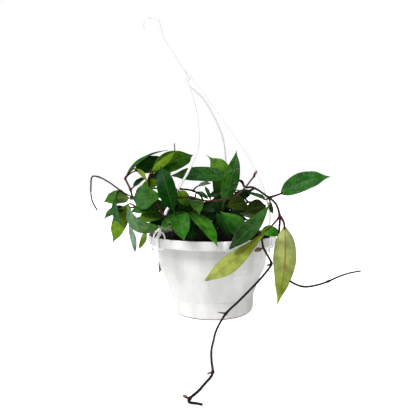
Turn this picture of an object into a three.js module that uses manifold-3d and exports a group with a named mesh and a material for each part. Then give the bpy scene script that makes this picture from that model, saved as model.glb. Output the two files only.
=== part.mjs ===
// A hoya pubicalyx in a hanging basket that stands on its saucer.
// Millimetres, +Z up, origin at the middle of the saucer's underside, front towards -Y.
import * as THREE from 'three';
import { mergeVertices } from 'three/addons/utils/BufferGeometryUtils.js';
import Module from 'manifold-3d';

const wasm = await Module();
wasm.setup();

// Driving dimensions: an 8 inch basket and what it carries
const RIM_RADIUS = 101.6;
const RIM_TOP = 122;
const LIP_HEIGHT = 13.5;
const NECK_RADIUS = 87.4;
const FOOT_RADIUS = 66;
const SEAT_RADIUS = 63.2;
const SAUCER_HEIGHT = 26;
const WALL = 1.8;
const GAP = 0.3;
const LUG_AZIMUTH = THREE.MathUtils.degToRad(10);
const DRAINS = 6;
const DRAIN_CIRCLE = 44;
const DRAIN_RADIUS = 4;
const SOIL_TOP = 118;
const STEM_BURIED = 22;
const STEM_HOLE = 2.8;
const STEM_RADIUS = 1.3;
const RUNNER_RADIUS = 1.1;
const ARCH_RADIUS = 1.4;
const TENDRIL_RADIUS = 0.9;
const LEAF_THICKNESS = 1.2;
const PETIOLE_WIDTH = 2.2;
const HUB_CENTRE = new THREE.Vector3(-42, 0, 370);
const HUB_RADIUS = 4.5;
const HUB_LENGTH = 16;
const LEG_THICKNESS = 2.6;
const LEG_END_WIDTH = 2.4;
const HOOK_CENTRE = new THREE.Vector3(-96, 0, 448);
const HOOK_BEND = 13;
const HOOK_RADIUS = 2.2;

const ROUND = 32;
const STEM_SIDES = 5;

const plantGreen = new THREE.MeshStandardMaterial({ color: 0x2f6b1e, roughness: 0.38, metalness: 0 });
const vineBrown = new THREE.MeshStandardMaterial({ color: 0x4a1f2a, roughness: 0.55, metalness: 0 });
const whitePlastic = new THREE.MeshStandardMaterial({ color: 0xf1f1ef, roughness: 0.3, metalness: 0 });
const blackSoil = new THREE.MeshStandardMaterial({ color: 0x1d1713, roughness: 0.95, metalness: 0 });

const at = (x, y, z) => new THREE.Vector3(x, y, z);

// A small seeded generator, so that the back of the plant is the same each time
function seeded(seed) {
  let state = seed;
  return (low, high) => {
    state = (state * 1664525 + 1013904223) % 4294967296;
    return low + (high - low) * (state / 4294967296);
  };
}

// Closed bodies

// Keeps positions only, joins the seams and drops the flat triangles left at poles
function closed(geometry) {
  const bare = geometry.clone();
  bare.deleteAttribute('normal');
  bare.deleteAttribute('uv');
  const merged = mergeVertices(bare, 1e-4);
  const corners = merged.index.array;
  const kept = [];
  for (let i = 0; i < corners.length; i += 3) {
    const [a, b, c] = [corners[i], corners[i + 1], corners[i + 2]];
    if (a !== b && b !== c && c !== a) {
      kept.push(a, b, c);
    }
  }
  merged.setIndex(kept);
  if (signedVolume(merged) < 0) {
    const turned = [];
    for (let i = 0; i < kept.length; i += 3) {
      turned.push(kept[i], kept[i + 2], kept[i + 1]);
    }
    merged.setIndex(turned);
  }
  return merged;
}

function signedVolume(geometry) {
  const position = geometry.attributes.position;
  const corners = geometry.index.array;
  const [a, b, c] = [at(0, 0, 0), at(0, 0, 0), at(0, 0, 0)];
  let volume = 0;
  for (let i = 0; i < corners.length; i += 3) {
    a.fromBufferAttribute(position, corners[i]);
    b.fromBufferAttribute(position, corners[i + 1]);
    c.fromBufferAttribute(position, corners[i + 2]);
    volume += a.dot(b.cross(c)) / 6;
  }
  return volume;
}

function solid(geometry) {
  const body = closed(geometry);
  return new wasm.Manifold(new wasm.Mesh({
    numProp: 3,
    vertProperties: new Float32Array(body.attributes.position.array),
    triVerts: new Uint32Array(body.index.array),
  }));
}

function joined(geometries) {
  return geometries.map(solid).reduce((whole, piece) => whole.add(piece));
}

function surface(manifold) {
  const mesh = manifold.getMesh();
  const geometry = new THREE.BufferGeometry();
  geometry.setAttribute('position', new THREE.BufferAttribute(new Float32Array(mesh.vertProperties), 3));
  geometry.setIndex(Array.from(mesh.triVerts));
  return geometry;
}

// A closed skin over rows of points: each row is one ring, the first and last rings are capped
function skinned(rows) {
  const points = rows.flat();
  const ring = rows[0].length;
  const corners = [];
  for (let row = 0; row < rows.length - 1; row += 1) {
    for (let side = 0; side < ring; side += 1) {
      const next = (side + 1) % ring;
      const [a, b] = [row * ring + side, row * ring + next];
      const [c, d] = [a + ring, b + ring];
      // The diagonal runs the same way on the upper and the lower face of a blade
      if (side < ring / 2) {
        corners.push(a, b, d, a, d, c);
      } else {
        corners.push(a, b, c, b, d, c);
      }
    }
  }
  const last = (rows.length - 1) * ring;
  for (let side = 1; side < ring - 1; side += 1) {
    corners.push(0, side + 1, side);
    corners.push(last, last + side, last + side + 1);
  }
  const geometry = new THREE.BufferGeometry();
  const numbers = points.flatMap((p) => [p.x, p.y, p.z]);
  geometry.setAttribute('position', new THREE.BufferAttribute(new Float32Array(numbers), 3));
  geometry.setIndex(corners);
  return geometry;
}

// A ring of revolution from a profile of [radius, height] pairs
function turned(profile) {
  const points = profile.map(([radius, height]) => new THREE.Vector2(radius, height));
  const geometry = new THREE.LatheGeometry(points, ROUND);
  geometry.rotateX(Math.PI / 2);
  return geometry;
}

function drilled(x, y, low, high, radius, sides) {
  const geometry = new THREE.CylinderGeometry(radius, radius, high - low, sides);
  geometry.rotateX(Math.PI / 2);
  geometry.translate(x, y, (low + high) / 2);
  return geometry;
}

// Leaves and stems

// Share of the full half width along the blade, from its rounded base to its drawn-out tip
const OUTLINE = [
  [0, 0.12],
  [0.12, 0.66],
  [0.34, 1],
  [0.6, 0.94],
  [0.84, 0.52],
  [1, 0.05],
];

// One leaf with its petiole. root lies on the stem, base and tip end the blade, and face is the
// way its upper side looks. arch lifts the middle along face, bow moves it sideways, fold lifts
// the edges in radians, twist turns the blade about its rib and blunt rounds the tip.
function leaf({ root, base, tip, width, face, arch = 6, bow = 0, fold = 0.2, twist = 0, blunt = 0 }) {
  const along = tip.clone().sub(base);
  const way = along.clone().normalize();
  const up = face.clone().addScaledVector(way, -face.dot(way)).normalize();
  const side = way.clone().cross(up);
  const rib = (u) => base.clone()
    .addScaledVector(along, u)
    .addScaledVector(up, arch * Math.sin(Math.PI * u))
    .addScaledVector(side, bow * Math.sin(Math.PI * u));
  const ring = (centre, right, normal, half, lift) => {
    const edge = half * Math.cos(lift);
    const rise = half * Math.sin(lift);
    const place = (across, height) => centre.clone()
      .addScaledVector(right, across)
      .addScaledVector(normal, height);
    const t = LEAF_THICKNESS / 2;
    return [
      place(-edge, rise + t),
      place(0, t),
      place(edge, rise + t),
      place(edge, rise - t),
      place(0, -t),
      place(-edge, rise - t),
    ];
  };
  const rows = OUTLINE.map(([u, share]) => {
    const ahead = rib(u + 0.01).sub(rib(u - 0.01)).normalize();
    const turn = twist * (u - 0.3);
    const right = side.clone().applyAxisAngle(way, turn);
    right.addScaledVector(ahead, -right.dot(ahead)).normalize();
    const normal = right.clone().cross(ahead);
    const rounded = share + blunt * u * u * Math.sqrt(Math.max(0, 1.04 - u));
    return ring(rib(u), right, normal, width / 2 * rounded, fold);
  });
  const start = base.clone().sub(root).normalize();
  const right = side.clone().addScaledVector(start, -side.dot(start)).normalize();
  const normal = right.clone().cross(start);
  rows.unshift(ring(root, right, normal, PETIOLE_WIDTH / 2, 0));
  return skinned(rows);
}

function tube(points, radius, steps, sides = STEM_SIDES) {
  const section = new THREE.Shape();
  for (let i = 0; i < sides; i += 1) {
    const angle = (2 * Math.PI * i) / sides;
    const corner = [radius * Math.cos(angle), radius * Math.sin(angle)];
    if (i === 0) {
      section.moveTo(...corner);
    } else {
      section.lineTo(...corner);
    }
  }
  section.closePath();
  return new THREE.ExtrudeGeometry(section, {
    steps,
    curveSegments: 1,
    extrudePath: new THREE.CatmullRomCurve3(points, false, 'centripetal'),
  });
}

// A stem that stands in the potting mix at root and then follows its points
const roots = [];
function rooted(root, points, radius = STEM_RADIUS, stepsPerPoint = 1.4) {
  const [x, y] = root;
  roots.push(root);
  const foot = [at(x, y, SOIL_TOP - STEM_BURIED), at(x, y, SOIL_TOP - 8), at(x, y, SOIL_TOP + 8)];
  const route = [...foot, ...points];
  return tube(route, radius, Math.ceil(route.length * stepsPerPoint));
}

const nodes = new THREE.Group();
function add(name, geometry, material) {
  const mesh = new THREE.Mesh(geometry, material);
  mesh.name = name;
  nodes.add(mesh);
}

function addVine(name, pieces, material = plantGreen) {
  add(name, surface(joined(pieces)), material);
}

// Left: the stem that climbs to the upper left, the broad leaf and the bare tendril that branches off
function vineLeft() {
  const fork = at(-118, -45, 180);
  const bend = at(-123, -41, 192);
  const crown = at(-133, -31, 209);
  const stem = rooted([-50, -8], [
    at(-58, -17, 140),
    at(-76, -28, 158),
    at(-96, -38, 169),
    fork,
    bend,
    crown,
  ]);
  const tendril = tube([
    fork,
    at(-134, -52, 190),
    at(-152, -60, 208),
    at(-164, -65, 213),
    at(-172, -69, 211),
    at(-174, -70, 198),
    at(-172, -73, 178),
    at(-164, -75, 163),
  ], TENDRIL_RADIUS, 12);
  addVine('vine_left', [
    stem,
    tendril,
    leaf({ root: crown, base: at(-131, -28, 214), tip: at(-73, 24, 257), width: 22,
      face: at(-0.43, -0.12, 0.77), arch: 8 }),
    leaf({ root: crown, base: at(-120, -16, 221), tip: at(-68, 24, 236), width: 32,
      face: at(-0.1, -0.9, 0.4) }),
    leaf({ root: crown, base: at(-115, -34, 223), tip: at(-95, -52, 196), width: 11,
      face: at(0.3, 0.7, 0.5), arch: 4, twist: 1 }),
    leaf({ root: bend, base: at(-120, -34, 196), tip: at(-107, -2, 211), width: 9,
      face: at(0.2, -0.6, 0.8), arch: 3 }),
    leaf({ root: fork, base: at(-124, -50, 180), tip: at(-159, -60, 175), width: 25,
      face: at(0, -0.8, 0.6), arch: 4 }),
    leaf({ root: at(-134, -52, 190), base: at(-137, -59, 191), tip: at(-125, -95, 143), width: 18,
      face: at(-0.95, -0.2, 0.3), arch: 7, twist: -0.4 }),
    leaf({ root: fork, base: at(-113, -70, 179), tip: at(-68, -78, 184), width: 36,
      face: at(-0.15, -0.95, 0.2), arch: 4, fold: 0.1 }),
  ]);
}

// Left and low: two reddish stems with the drooping leaves over the left of the rim
function vineLeftLow() {
  const fork = at(-78, -60, 158);
  const nodeHigh = at(-110, -64, 166);
  const nodeLow = at(-105, -74, 152);
  addVine('vine_left_low', [
    rooted([-58, -38], [at(-64, -50, 142), fork, at(-96, -63, 163), nodeHigh]),
    tube([fork, at(-92, -66, 158), nodeLow], STEM_RADIUS, 3),
    leaf({ root: nodeHigh, base: at(-125, -59, 165), tip: at(-157, -68, 150), width: 16,
      face: at(-0.2, -0.7, 0.7) }),
    leaf({ root: nodeHigh, base: at(-123, -62, 171), tip: at(-143, -72, 117), width: 28,
      face: at(-0.4, -0.8, 0.3), bow: -5 }),
    leaf({ root: fork, base: at(-68, -60, 169), tip: at(-118, -72, 160), width: 25,
      face: at(0, -0.8, 0.6) }),
    leaf({ root: fork, base: at(-72, -64, 147), tip: at(-93, -80, 135), width: 17,
      face: at(0, -0.8, 0.6), arch: 3 }),
    leaf({ root: fork, base: at(-73, -60, 156), tip: at(-107, -82, 148), width: 22,
      face: at(0.1, -0.8, 0.6), arch: 4 }),
    leaf({ root: nodeLow, base: at(-116, -90, 142), tip: at(-108, -92, 104), width: 9,
      face: at(-0.3, -0.8, 0.3), arch: 3, bow: -4 }),
    leaf({ root: nodeLow, base: at(-94, -88, 136), tip: at(-102, -98, 111), width: 9,
      face: at(0.3, 0.8, 0.2), arch: 3 }),
  ]);
}

// Front left: the red-brown runner that crosses the front to its bud
function vineRunner() {
  const bend = at(-84, -67, 186);
  const node = at(-50, -72, 181);
  const bud = at(58, -81, 212);
  addVine('vine_runner', [
    rooted([-44, -52], [
      at(-62, -68, 142),
      at(-77, -76, 168),
      bend,
      at(-70, -66, 185),
      node,
      at(-31, -78, 182),
      at(-9, -84, 177),
      at(16, -87, 179),
      at(30, -87, 183),
      at(45, -85, 196),
      at(54, -82, 207),
      bud,
    ], RUNNER_RADIUS),
    leaf({ root: node, base: at(-51, -46, 190), tip: at(-36, -46, 167), width: 19,
      face: at(0.2, -0.9, 0.2), arch: 3 }),
    leaf({ root: at(57, -81, 210), base: at(59, -81, 214), tip: at(63, -79, 220), width: 4,
      face: at(0, -1, 0), arch: 0, fold: 0 }),
  ]);
}

// Front: the upright dark leaf, the one that tips over the rim and the long curved one
function vineFront() {
  const node = at(-48, -72, 153);
  addVine('vine_front', [
    rooted([-34, -60], [at(-37, -64, 132), node]),
    leaf({ root: node, base: at(-55, -92, 165), tip: at(-75, -66, 226), width: 27,
      face: at(-0.1, -0.9, -0.2), arch: 6, bow: 2 }),
    leaf({ root: node, base: at(-48, -82, 162), tip: at(-39, -112, 124), width: 27,
      face: at(-0.1, -0.7, 0.7), arch: 6 }),
    leaf({ root: node, base: at(-74, -92, 141), tip: at(-117, -94, 171), width: 17,
      face: at(0.2, -0.8, 0.5), arch: 3, bow: -15, fold: 0.1 }),
    leaf({ root: node, base: at(-62, -70, 154), tip: at(-72, -90, 133), width: 10,
      face: at(0.2, -0.6, 0.7), arch: 2 }),
  ]);
}

// Front centre: short stem with the leaves that lean over the potting mix
function vineCentre() {
  const low = at(-28, -58, 148);
  const high = at(-26, -46, 174);
  addVine('vine_centre', [
    rooted([-18, -42], [at(-22, -50, 132), low, at(-28, -52, 162), high]),
    leaf({ root: low, base: at(-34, -68, 160), tip: at(6, -114, 117), width: 24,
      face: at(0.3, -0.6, 0.7), arch: 7 }),
    leaf({ root: low, base: at(-26, -68, 145), tip: at(-30, -92, 122), width: 18,
      face: at(-0.1, -0.7, 0.6), arch: 4, blunt: 0.3 }),
    leaf({ root: high, base: at(-31, -54, 177), tip: at(-19, -96, 158), width: 24,
      face: at(0.2, -0.5, 0.8), arch: 5 }),
    leaf({ root: high, base: at(-21, -38, 189), tip: at(-6, -44, 177), width: 7,
      face: at(0, -0.8, 0.5), arch: 2 }),
    leaf({ root: high, base: at(-3, -38, 178), tip: at(-12, -30, 198), width: 6,
      face: at(0, -0.8, 0.5), arch: 2 }),
  ]);
}

// Top left: the dark stem through the middle of the plant, with the big leaf and its pair
function vineTop() {
  const end = at(-96, -32, 194);
  const side = at(-30, -14, 190);
  addVine('vine_top', [
    rooted([-12, -6], [
      at(-13, -6, 150),
      at(-17, -8, 180),
      side,
      at(-50, -17, 193),
      at(-76, -24, 194),
      end,
    ]),
    tube([
      at(-88, -30, 194),
      at(-92, -18, 206),
      at(-89, -14, 218),
      at(-71, -10, 240),
      at(-60, -6, 253),
      at(-60, -4, 265),
    ], TENDRIL_RADIUS, 7),
    leaf({ root: end, base: at(-88, -41, 219), tip: at(-31, 4, 247), width: 36,
      face: at(0.1, -0.85, 0.5), arch: 5 }),
    leaf({ root: end, base: at(-89, -50, 220), tip: at(-57, -26, 250), width: 13,
      face: at(0.3, 0.9, -0.1), arch: 1, fold: 0.1 }),
    leaf({ root: side, base: at(-22, -12, 198), tip: at(-2, -8, 202), width: 12,
      face: at(0, 0.5, 0.8), arch: 1 }),
    leaf({ root: end, base: at(-107, -36, 197), tip: at(-77, -44, 205), width: 13,
      face: at(0.1, 0.9, 0.2), arch: 2 }),
    leaf({ root: end, base: at(-100, -24, 207), tip: at(-64, -10, 218), width: 14,
      face: at(0, -0.9, 0.4), arch: 3 }),
  ]);
}

// Right of the middle: the flecked leaf that stands up
function vineUpright() {
  const node = at(16, -42, 166);
  addVine('vine_upright', [
    rooted([8, -22], [at(10, -28, 135), node]),
    leaf({ root: node, base: at(20, -42, 176), tip: at(36, -31, 251), width: 27,
      face: at(-0.3, -0.9, 0.1), arch: 5, bow: 5 }),
  ]);
}

// Crown: two leaves from the stem behind the middle
function vineCrown() {
  const node = at(33, 7, 207);
  const low = at(26, 11, 158);
  addVine('vine_crown', [
    rooted([22, 12], [at(25, 11, 140), low, at(31, 8, 190), node]),
    leaf({ root: node, base: at(28, 3, 212), tip: at(-64, -5, 214), width: 30,
      face: at(0, -0.75, 0.66), arch: 3 }),
    leaf({ root: low, base: at(10, 15, 172), tip: at(-10, 30, 250), width: 36,
      face: at(0.1, -0.95, 0.2), arch: 5, bow: 16 }),
  ]);
}

// Inside: leaves that fill the middle of the plant above the potting mix
function vineInner() {
  const low = at(-7, 25, 140);
  const node = at(-6, 22, 158);
  addVine('vine_inner', [
    rooted([-8, 26], [low, node]),
    leaf({ root: node, base: at(-1, 10, 164), tip: at(26, -12, 172), width: 25,
      face: at(0, -0.9, 0.4) }),
    leaf({ root: node, base: at(-14, 14, 162), tip: at(-66, -6, 170), width: 28,
      face: at(0, -0.9, 0.4) }),
    leaf({ root: low, base: at(-12, 12, 142), tip: at(-60, -4, 140), width: 26,
      face: at(0, -0.9, 0.4) }),
    leaf({ root: node, base: at(0, 32, 158), tip: at(36, 62, 170), width: 28,
      face: at(0.2, 0.3, 0.9), arch: 8 }),
    leaf({ root: node, base: at(-14, 32, 158), tip: at(-48, 60, 168), width: 28,
      face: at(-0.2, 0.3, 0.9), arch: 8 }),
    leaf({ root: low, base: at(4, 30, 142), tip: at(62, 44, 140), width: 26,
      face: at(0, -0.8, 0.6) }),
    leaf({ root: low, base: at(-18, 30, 142), tip: at(-74, 44, 140), width: 26,
      face: at(0, -0.8, 0.6) }),
    leaf({ root: node, base: at(4, 14, 170), tip: at(-24, 0, 134), width: 30,
      face: at(0, -0.9, 0.3) }),
    leaf({ root: node, base: at(-20, 24, 156), tip: at(-88, 8, 160), width: 28,
      face: at(0, -0.9, 0.3) }),
  ]);
}

// Right arch: the long dark vine that rises, droops and ends in a tendril, with its hanging leaves
function vineRightArch() {
  const nodeTop = at(80, -72, 181);
  const nodeLow = at(92, -91, 156);
  addVine('vine_right_arch', [
    rooted([30, -16], [
      at(30, -18, 150),
      at(30, -22, 190),
      at(37, -30, 206),
      at(44, -38, 204),
      at(48, -43, 196),
      at(57, -50, 196),
      at(64, -57, 193),
      at(72, -64, 187),
      nodeTop,
      at(88, -80, 173),
      nodeLow,
      at(92, -88, 138),
      at(91, -84, 118),
      at(91, -84, 98),
      at(95, -92, 80),
      at(104, -104, 69),
      at(122, -104, 61),
      at(142, -100, 62),
      at(159, -95, 66),
      at(174, -90, 71),
      at(191, -84, 75),
      at(210, -78, 77),
    ], ARCH_RADIUS),
    leaf({ root: nodeTop, base: at(95, -82, 187), tip: at(155, -110, 210), width: 29,
      face: at(-0.2, -0.85, 0.45), arch: 4, bow: -3 }),
    leaf({ root: nodeTop, base: at(75, -62, 178), tip: at(46, 4, 187), width: 16,
      face: at(0, -0.14, 1), arch: 3 }),
    leaf({ root: nodeTop, base: at(77, -84, 169), tip: at(22, -118, 115), width: 30,
      face: at(-0.1, -0.8, 0.5), arch: 5, twist: 0.5 }),
    leaf({ root: nodeTop, base: at(80, -78, 176), tip: at(84, -84, 158), width: 7,
      face: at(-0.5, -0.8, 0), arch: 1 }),
    leaf({ root: nodeLow, base: at(73, -103, 138), tip: at(-10, -136, 77), width: 26,
      face: at(0.4, 0.85, -0.1), arch: 4, bow: 2 }),
    leaf({ root: nodeLow, base: at(97, -101, 142), tip: at(86, -112, 38), width: 30,
      face: at(0.1, 0.95, 0), arch: 3, bow: 5, fold: 0.25 }),
  ]);
}

// Right and low: the leaves between the arch and the potting mix
function vineRightLow() {
  const low = at(24, -44, 140);
  const node = at(32, -48, 160);
  const end = at(52, -48, 174);
  addVine('vine_right_low', [
    rooted([22, -42], [low, node, end]),
    leaf({ root: low, base: at(43, -78, 130), tip: at(9, -88, 163), width: 28,
      face: at(0.1, -0.9, 0.3), arch: 5 }),
    leaf({ root: low, base: at(6, -64, 158), tip: at(24, -84, 123), width: 15,
      face: at(0.1, -0.8, 0.5), arch: 4 }),
    leaf({ root: low, base: at(30, -36, 158), tip: at(64, -16, 162), width: 20,
      face: at(0, -0.7, 0.7), arch: 4 }),
    leaf({ root: end, base: at(50, -50, 172), tip: at(19, -72, 168), width: 24,
      face: at(0, -0.9, 0.35), arch: 4 }),
    leaf({ root: end, base: at(77, -56, 168), tip: at(44, -82, 161), width: 24,
      face: at(0, -0.9, 0.35), arch: 4 }),
    leaf({ root: end, base: at(28, -28, 187), tip: at(-19, -46, 158), width: 13,
      face: at(0, -0.9, 0.4), arch: 3 }),
  ]);
}

// Floor vine: out over the rim, down past the pot and along the surface in front of it
function vineFloor() {
  const rest = STEM_RADIUS + GAP;
  const crest = at(60, -78, 136);
  const scrap = at(70, -90, 112);
  const stub = at(80, -97, 91);
  const nodeLow = at(18, -98, 22);
  const nodeFlat = at(-2, -233, rest);
  const nodeEnd = at(-24, -288, rest);
  const bract = (root, tip, width) => leaf({ root, base: root.clone().lerp(tip, 0.4), tip, width,
    face: at(0, -0.7, 0.7), arch: 0.5, fold: 0 });
  addVine('vine_floor', [
    rooted([42, -46], [
      at(44, -51, 133),
      crest,
      at(67, -86, 126),
      scrap,
      at(78, -95, 97),
      stub,
      at(70, -103, 78),
      at(50, -106, 57),
      at(34, -104, 40),
      nodeLow,
      at(9, -104, 10),
      at(3, -118, rest + 1),
      at(0, -144, rest),
      at(-3, -176, rest),
      at(-3, -209, rest),
      nodeFlat,
      at(-4, -244, rest),
      at(-9, -256, rest),
      at(-16, -273, rest),
      nodeEnd,
      at(-24, -294, rest),
      at(-17, -296, rest),
      at(-12, -298, rest),
    ], STEM_RADIUS, 2),
    leaf({ root: crest, base: at(68, -77, 132), tip: at(98, -70, 128), width: 20,
      face: at(0.1, -0.7, 0.7), arch: 4 }),
    bract(nodeLow, at(6, -103, 20), 5),
    bract(stub, at(73, -99, 88), 3),
    bract(scrap, at(56, -97, 108), 7),
    bract(nodeFlat, at(-9, -240, rest + 3), 3),
    bract(nodeEnd, at(-31, -287, rest + 3), 3),
  ], vineBrown);
}

// Back: vines that the front view hides, each with pairs of leaves set out by one rule
function vineBack(name, root, degrees, points, seed) {
  const draw = seeded(seed);
  const azimuth = THREE.MathUtils.degToRad(degrees);
  const out = at(Math.sin(azimuth), -Math.cos(azimuth), 0);
  const across = at(Math.cos(azimuth), Math.sin(azimuth), 0);
  const placed = (distance, height, aside = 0) => out.clone()
    .multiplyScalar(distance)
    .addScaledVector(across, aside)
    .setZ(height);
  const route = points.map(([distance, height]) => placed(distance, height));
  const pieces = [rooted(root, route)];
  points.forEach(([distance, height], index) => {
    const node = route[index];
    for (const hand of [-1, 1]) {
      const reach = draw(62, 78);
      const droop = THREE.MathUtils.lerp(-0.1, 0.85, index / (points.length - 1)) + draw(-0.08, 0.08);
      const start = placed(distance + 4, height + 3, hand * 7);
      const end = start.clone()
        .addScaledVector(across, hand * reach * draw(0.3, 0.45))
        .addScaledVector(out, reach * 0.5);
      end.z -= reach * droop;
      const face = out.clone().multiplyScalar(0.6).add(at(0, 0, 0.8));
      pieces.push(leaf({ root: node, base: start, tip: end, width: draw(24, 30), face, arch: 6 }));
    }
  });
  addVine(name, pieces);
}

// The basket

// The outside of the bowl above its foot: [radius, height]
const BOWL = [
  [72.6, 45],
  [76.6, 55.5],
  [83, 68.5],
  [85.2, 77],
  [86.5, 92],
];
// The same profile inside the wall
const inset = (by, lift) => BOWL.map(([radius, height]) => [radius - by, height + lift]);

function pot() {
  const lipFoot = RIM_TOP - LIP_HEIGHT;
  const floorFoot = 2 + GAP;
  const floorTop = floorFoot + 2;
  const ledge = SAUCER_HEIGHT + GAP;
  const wall = turned([
    [0, floorFoot],
    [SEAT_RADIUS - 3.6, floorFoot],
    [SEAT_RADIUS - 1.8, 4.2],
    [SEAT_RADIUS - 0.4, 8.2],
    [SEAT_RADIUS, ledge],
    [FOOT_RADIUS, ledge],
    ...BOWL,
    [NECK_RADIUS, 92.6],
    [NECK_RADIUS + 0.6, lipFoot],
    [RIM_RADIUS - 0.8, lipFoot],
    [RIM_RADIUS, lipFoot + 1.5],
    [RIM_RADIUS, RIM_TOP - 1],
    [RIM_RADIUS - 0.9, RIM_TOP],
    [RIM_RADIUS - WALL, RIM_TOP - 1],
    [RIM_RADIUS - WALL, lipFoot + WALL],
    [NECK_RADIUS + 0.6 - WALL, lipFoot + WALL],
    [NECK_RADIUS - WALL, 93.2],
    ...inset(WALL, 0.5).reverse(),
    [FOOT_RADIUS - 1.2, ledge + WALL],
    [SEAT_RADIUS - WALL, ledge + WALL],
    [SEAT_RADIUS - 2.2, 8.6],
    [SEAT_RADIUS - 4.3, floorTop],
    [0, floorTop],
  ]);
  // The moulded lug on the front of the lip
  const lug = new THREE.SphereGeometry(1, 8, 6);
  lug.scale(5.5, 2.4, 7);
  lug.translate(0, -RIM_RADIUS - 0.8, RIM_TOP - 7);
  lug.rotateZ(LUG_AZIMUTH);
  let body = joined([wall, lug]);
  for (let i = 0; i < DRAINS; i += 1) {
    const angle = (2 * Math.PI * i) / DRAINS;
    const [x, y] = [DRAIN_CIRCLE * Math.cos(angle), DRAIN_CIRCLE * Math.sin(angle)];
    body = body.subtract(solid(drilled(x, y, 1, 8, DRAIN_RADIUS, 6)));
  }
  add('pot', surface(body), whitePlastic);
}

function saucer() {
  const profile = turned([
    [0, 0],
    [61.5, 0],
    [64, 2.5],
    [65.4, 7],
    [65.7, SAUCER_HEIGHT - 0.6],
    [65.2, SAUCER_HEIGHT],
    [SEAT_RADIUS + 0.6, SAUCER_HEIGHT],
    [SEAT_RADIUS + 0.4, 8],
    [SEAT_RADIUS - 0.9, 4],
    [SEAT_RADIUS - 2.8, 2],
    [0, 2],
  ]);
  add('saucer', closed(profile), whitePlastic);
}

// Fills the pot and lies on the ledge inside its lip
function pottingMix() {
  const ledge = SAUCER_HEIGHT + 2 * GAP + WALL;
  const lipLedge = RIM_TOP - LIP_HEIGHT + WALL + GAP;
  const heap = turned([
    [0, 4.7],
    [SEAT_RADIUS - 4.6, 4.7],
    [SEAT_RADIUS - 2.7, 8.8],
    [SEAT_RADIUS - 2.2, ledge],
    [FOOT_RADIUS - 1.6, ledge],
    ...inset(WALL + 0.4, 1),
    [NECK_RADIUS - WALL - 0.4, 94],
    [NECK_RADIUS + 0.2 - WALL, lipLedge],
    [RIM_RADIUS - WALL - 0.4, lipLedge],
    [RIM_RADIUS - WALL - 0.4, SOIL_TOP - 4],
    [88, SOIL_TOP],
    [44, SOIL_TOP + 5],
    [0, SOIL_TOP + 6],
  ]);
  let body = solid(heap);
  for (const [x, y] of roots) {
    const [low, high] = [SOIL_TOP - STEM_BURIED - GAP, SOIL_TOP + 8];
    body = body.subtract(solid(drilled(x, y, low, high, STEM_HOLE, 6)));
  }
  add('potting_mix', surface(body), blackSoil);
}

// The hanger: three moulded legs that clip under the lip and meet at a hub with a hook

const hubAxis = at(-0.5, 0, 0.866);
const hubAcross = at(0.866, 0, 0.5);
const hubAside = at(0, 1, 0);

// From the toe under the lip, around it and up over the rim: [radius, height]
const CLIP = [
  [95, 106.6],
  [100, 106.6],
  [103.2, 107.6],
  [104.1, 111],
  [104.2, 119],
  [103.4, 123.6],
  [100.5, 126.5],
];

function leg(name, azimuth, route, hubAngle, wide) {
  const turn = THREE.MathUtils.degToRad(azimuth);
  const clip = CLIP.map(([radius, height]) => at(radius * Math.sin(turn), -radius * Math.cos(turn), height));
  const seat = HUB_RADIUS + GAP + 0.7 * LEG_THICKNESS;
  const aim = THREE.MathUtils.degToRad(hubAngle);
  const end = HUB_CENTRE.clone()
    .addScaledVector(hubAcross, seat * Math.cos(aim))
    .addScaledVector(hubAside, seat * Math.sin(aim));
  const below = end.clone().addScaledVector(hubAxis, -12);
  const path = new THREE.CatmullRomCurve3([...clip, ...route, below, end], false, 'centripetal');
  const steps = 34;
  const broad = at(Math.cos(turn), Math.sin(turn), 0);
  const rows = [];
  for (let i = 0; i <= steps; i += 1) {
    const u = i / steps;
    const centre = path.getPoint(u);
    const ahead = path.getTangent(u);
    const side = broad.clone().addScaledVector(ahead, -broad.dot(ahead)).normalize();
    const normal = side.clone().cross(ahead);
    const half = THREE.MathUtils.lerp(wide, LEG_END_WIDTH, u) / 2;
    const corner = (a, b) => centre.clone().addScaledVector(side, a).addScaledVector(normal, b);
    const t = LEG_THICKNESS / 2;
    rows.push([corner(-half, t), corner(half, t), corner(half, -t), corner(-half, -t)]);
  }
  add(name, closed(skinned(rows)), whitePlastic);
}

function hook() {
  const hub = new THREE.CylinderGeometry(HUB_RADIUS, HUB_RADIUS, HUB_LENGTH, 12);
  hub.applyQuaternion(new THREE.Quaternion().setFromUnitVectors(at(0, 1, 0), hubAxis));
  hub.translate(...HUB_CENTRE.toArray());
  const shaft = HUB_CENTRE.clone().addScaledVector(hubAxis, 4);
  const route = [shaft, at(-62, 0, 405), at(-76, 0, 426)];
  for (let degrees = 0; degrees <= 210; degrees += 30) {
    const angle = THREE.MathUtils.degToRad(degrees);
    route.push(HOOK_CENTRE.clone().add(at(HOOK_BEND * Math.cos(angle), 0, HOOK_BEND * Math.sin(angle))));
  }
  add('hanger_hook', surface(joined([hub, tube(route, HOOK_RADIUS, 20, 8)])), whitePlastic);
}

vineLeft();
vineLeftLow();
vineRunner();
vineFront();
vineCentre();
vineTop();
vineUpright();
vineCrown();
vineRightArch();
vineRightLow();
vineFloor();
vineInner();

// Azimuths turn from the front towards +X; each route is [distance from the axis, height]
vineBack('vine_back_left', [-34, 46], 206, [[76, 138], [96, 146], [114, 127], [121, 89]], 11);
vineBack('vine_back_right', [36, 46], 155, [[78, 134], [99, 141], [114, 122], [119, 90]], 13);

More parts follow.
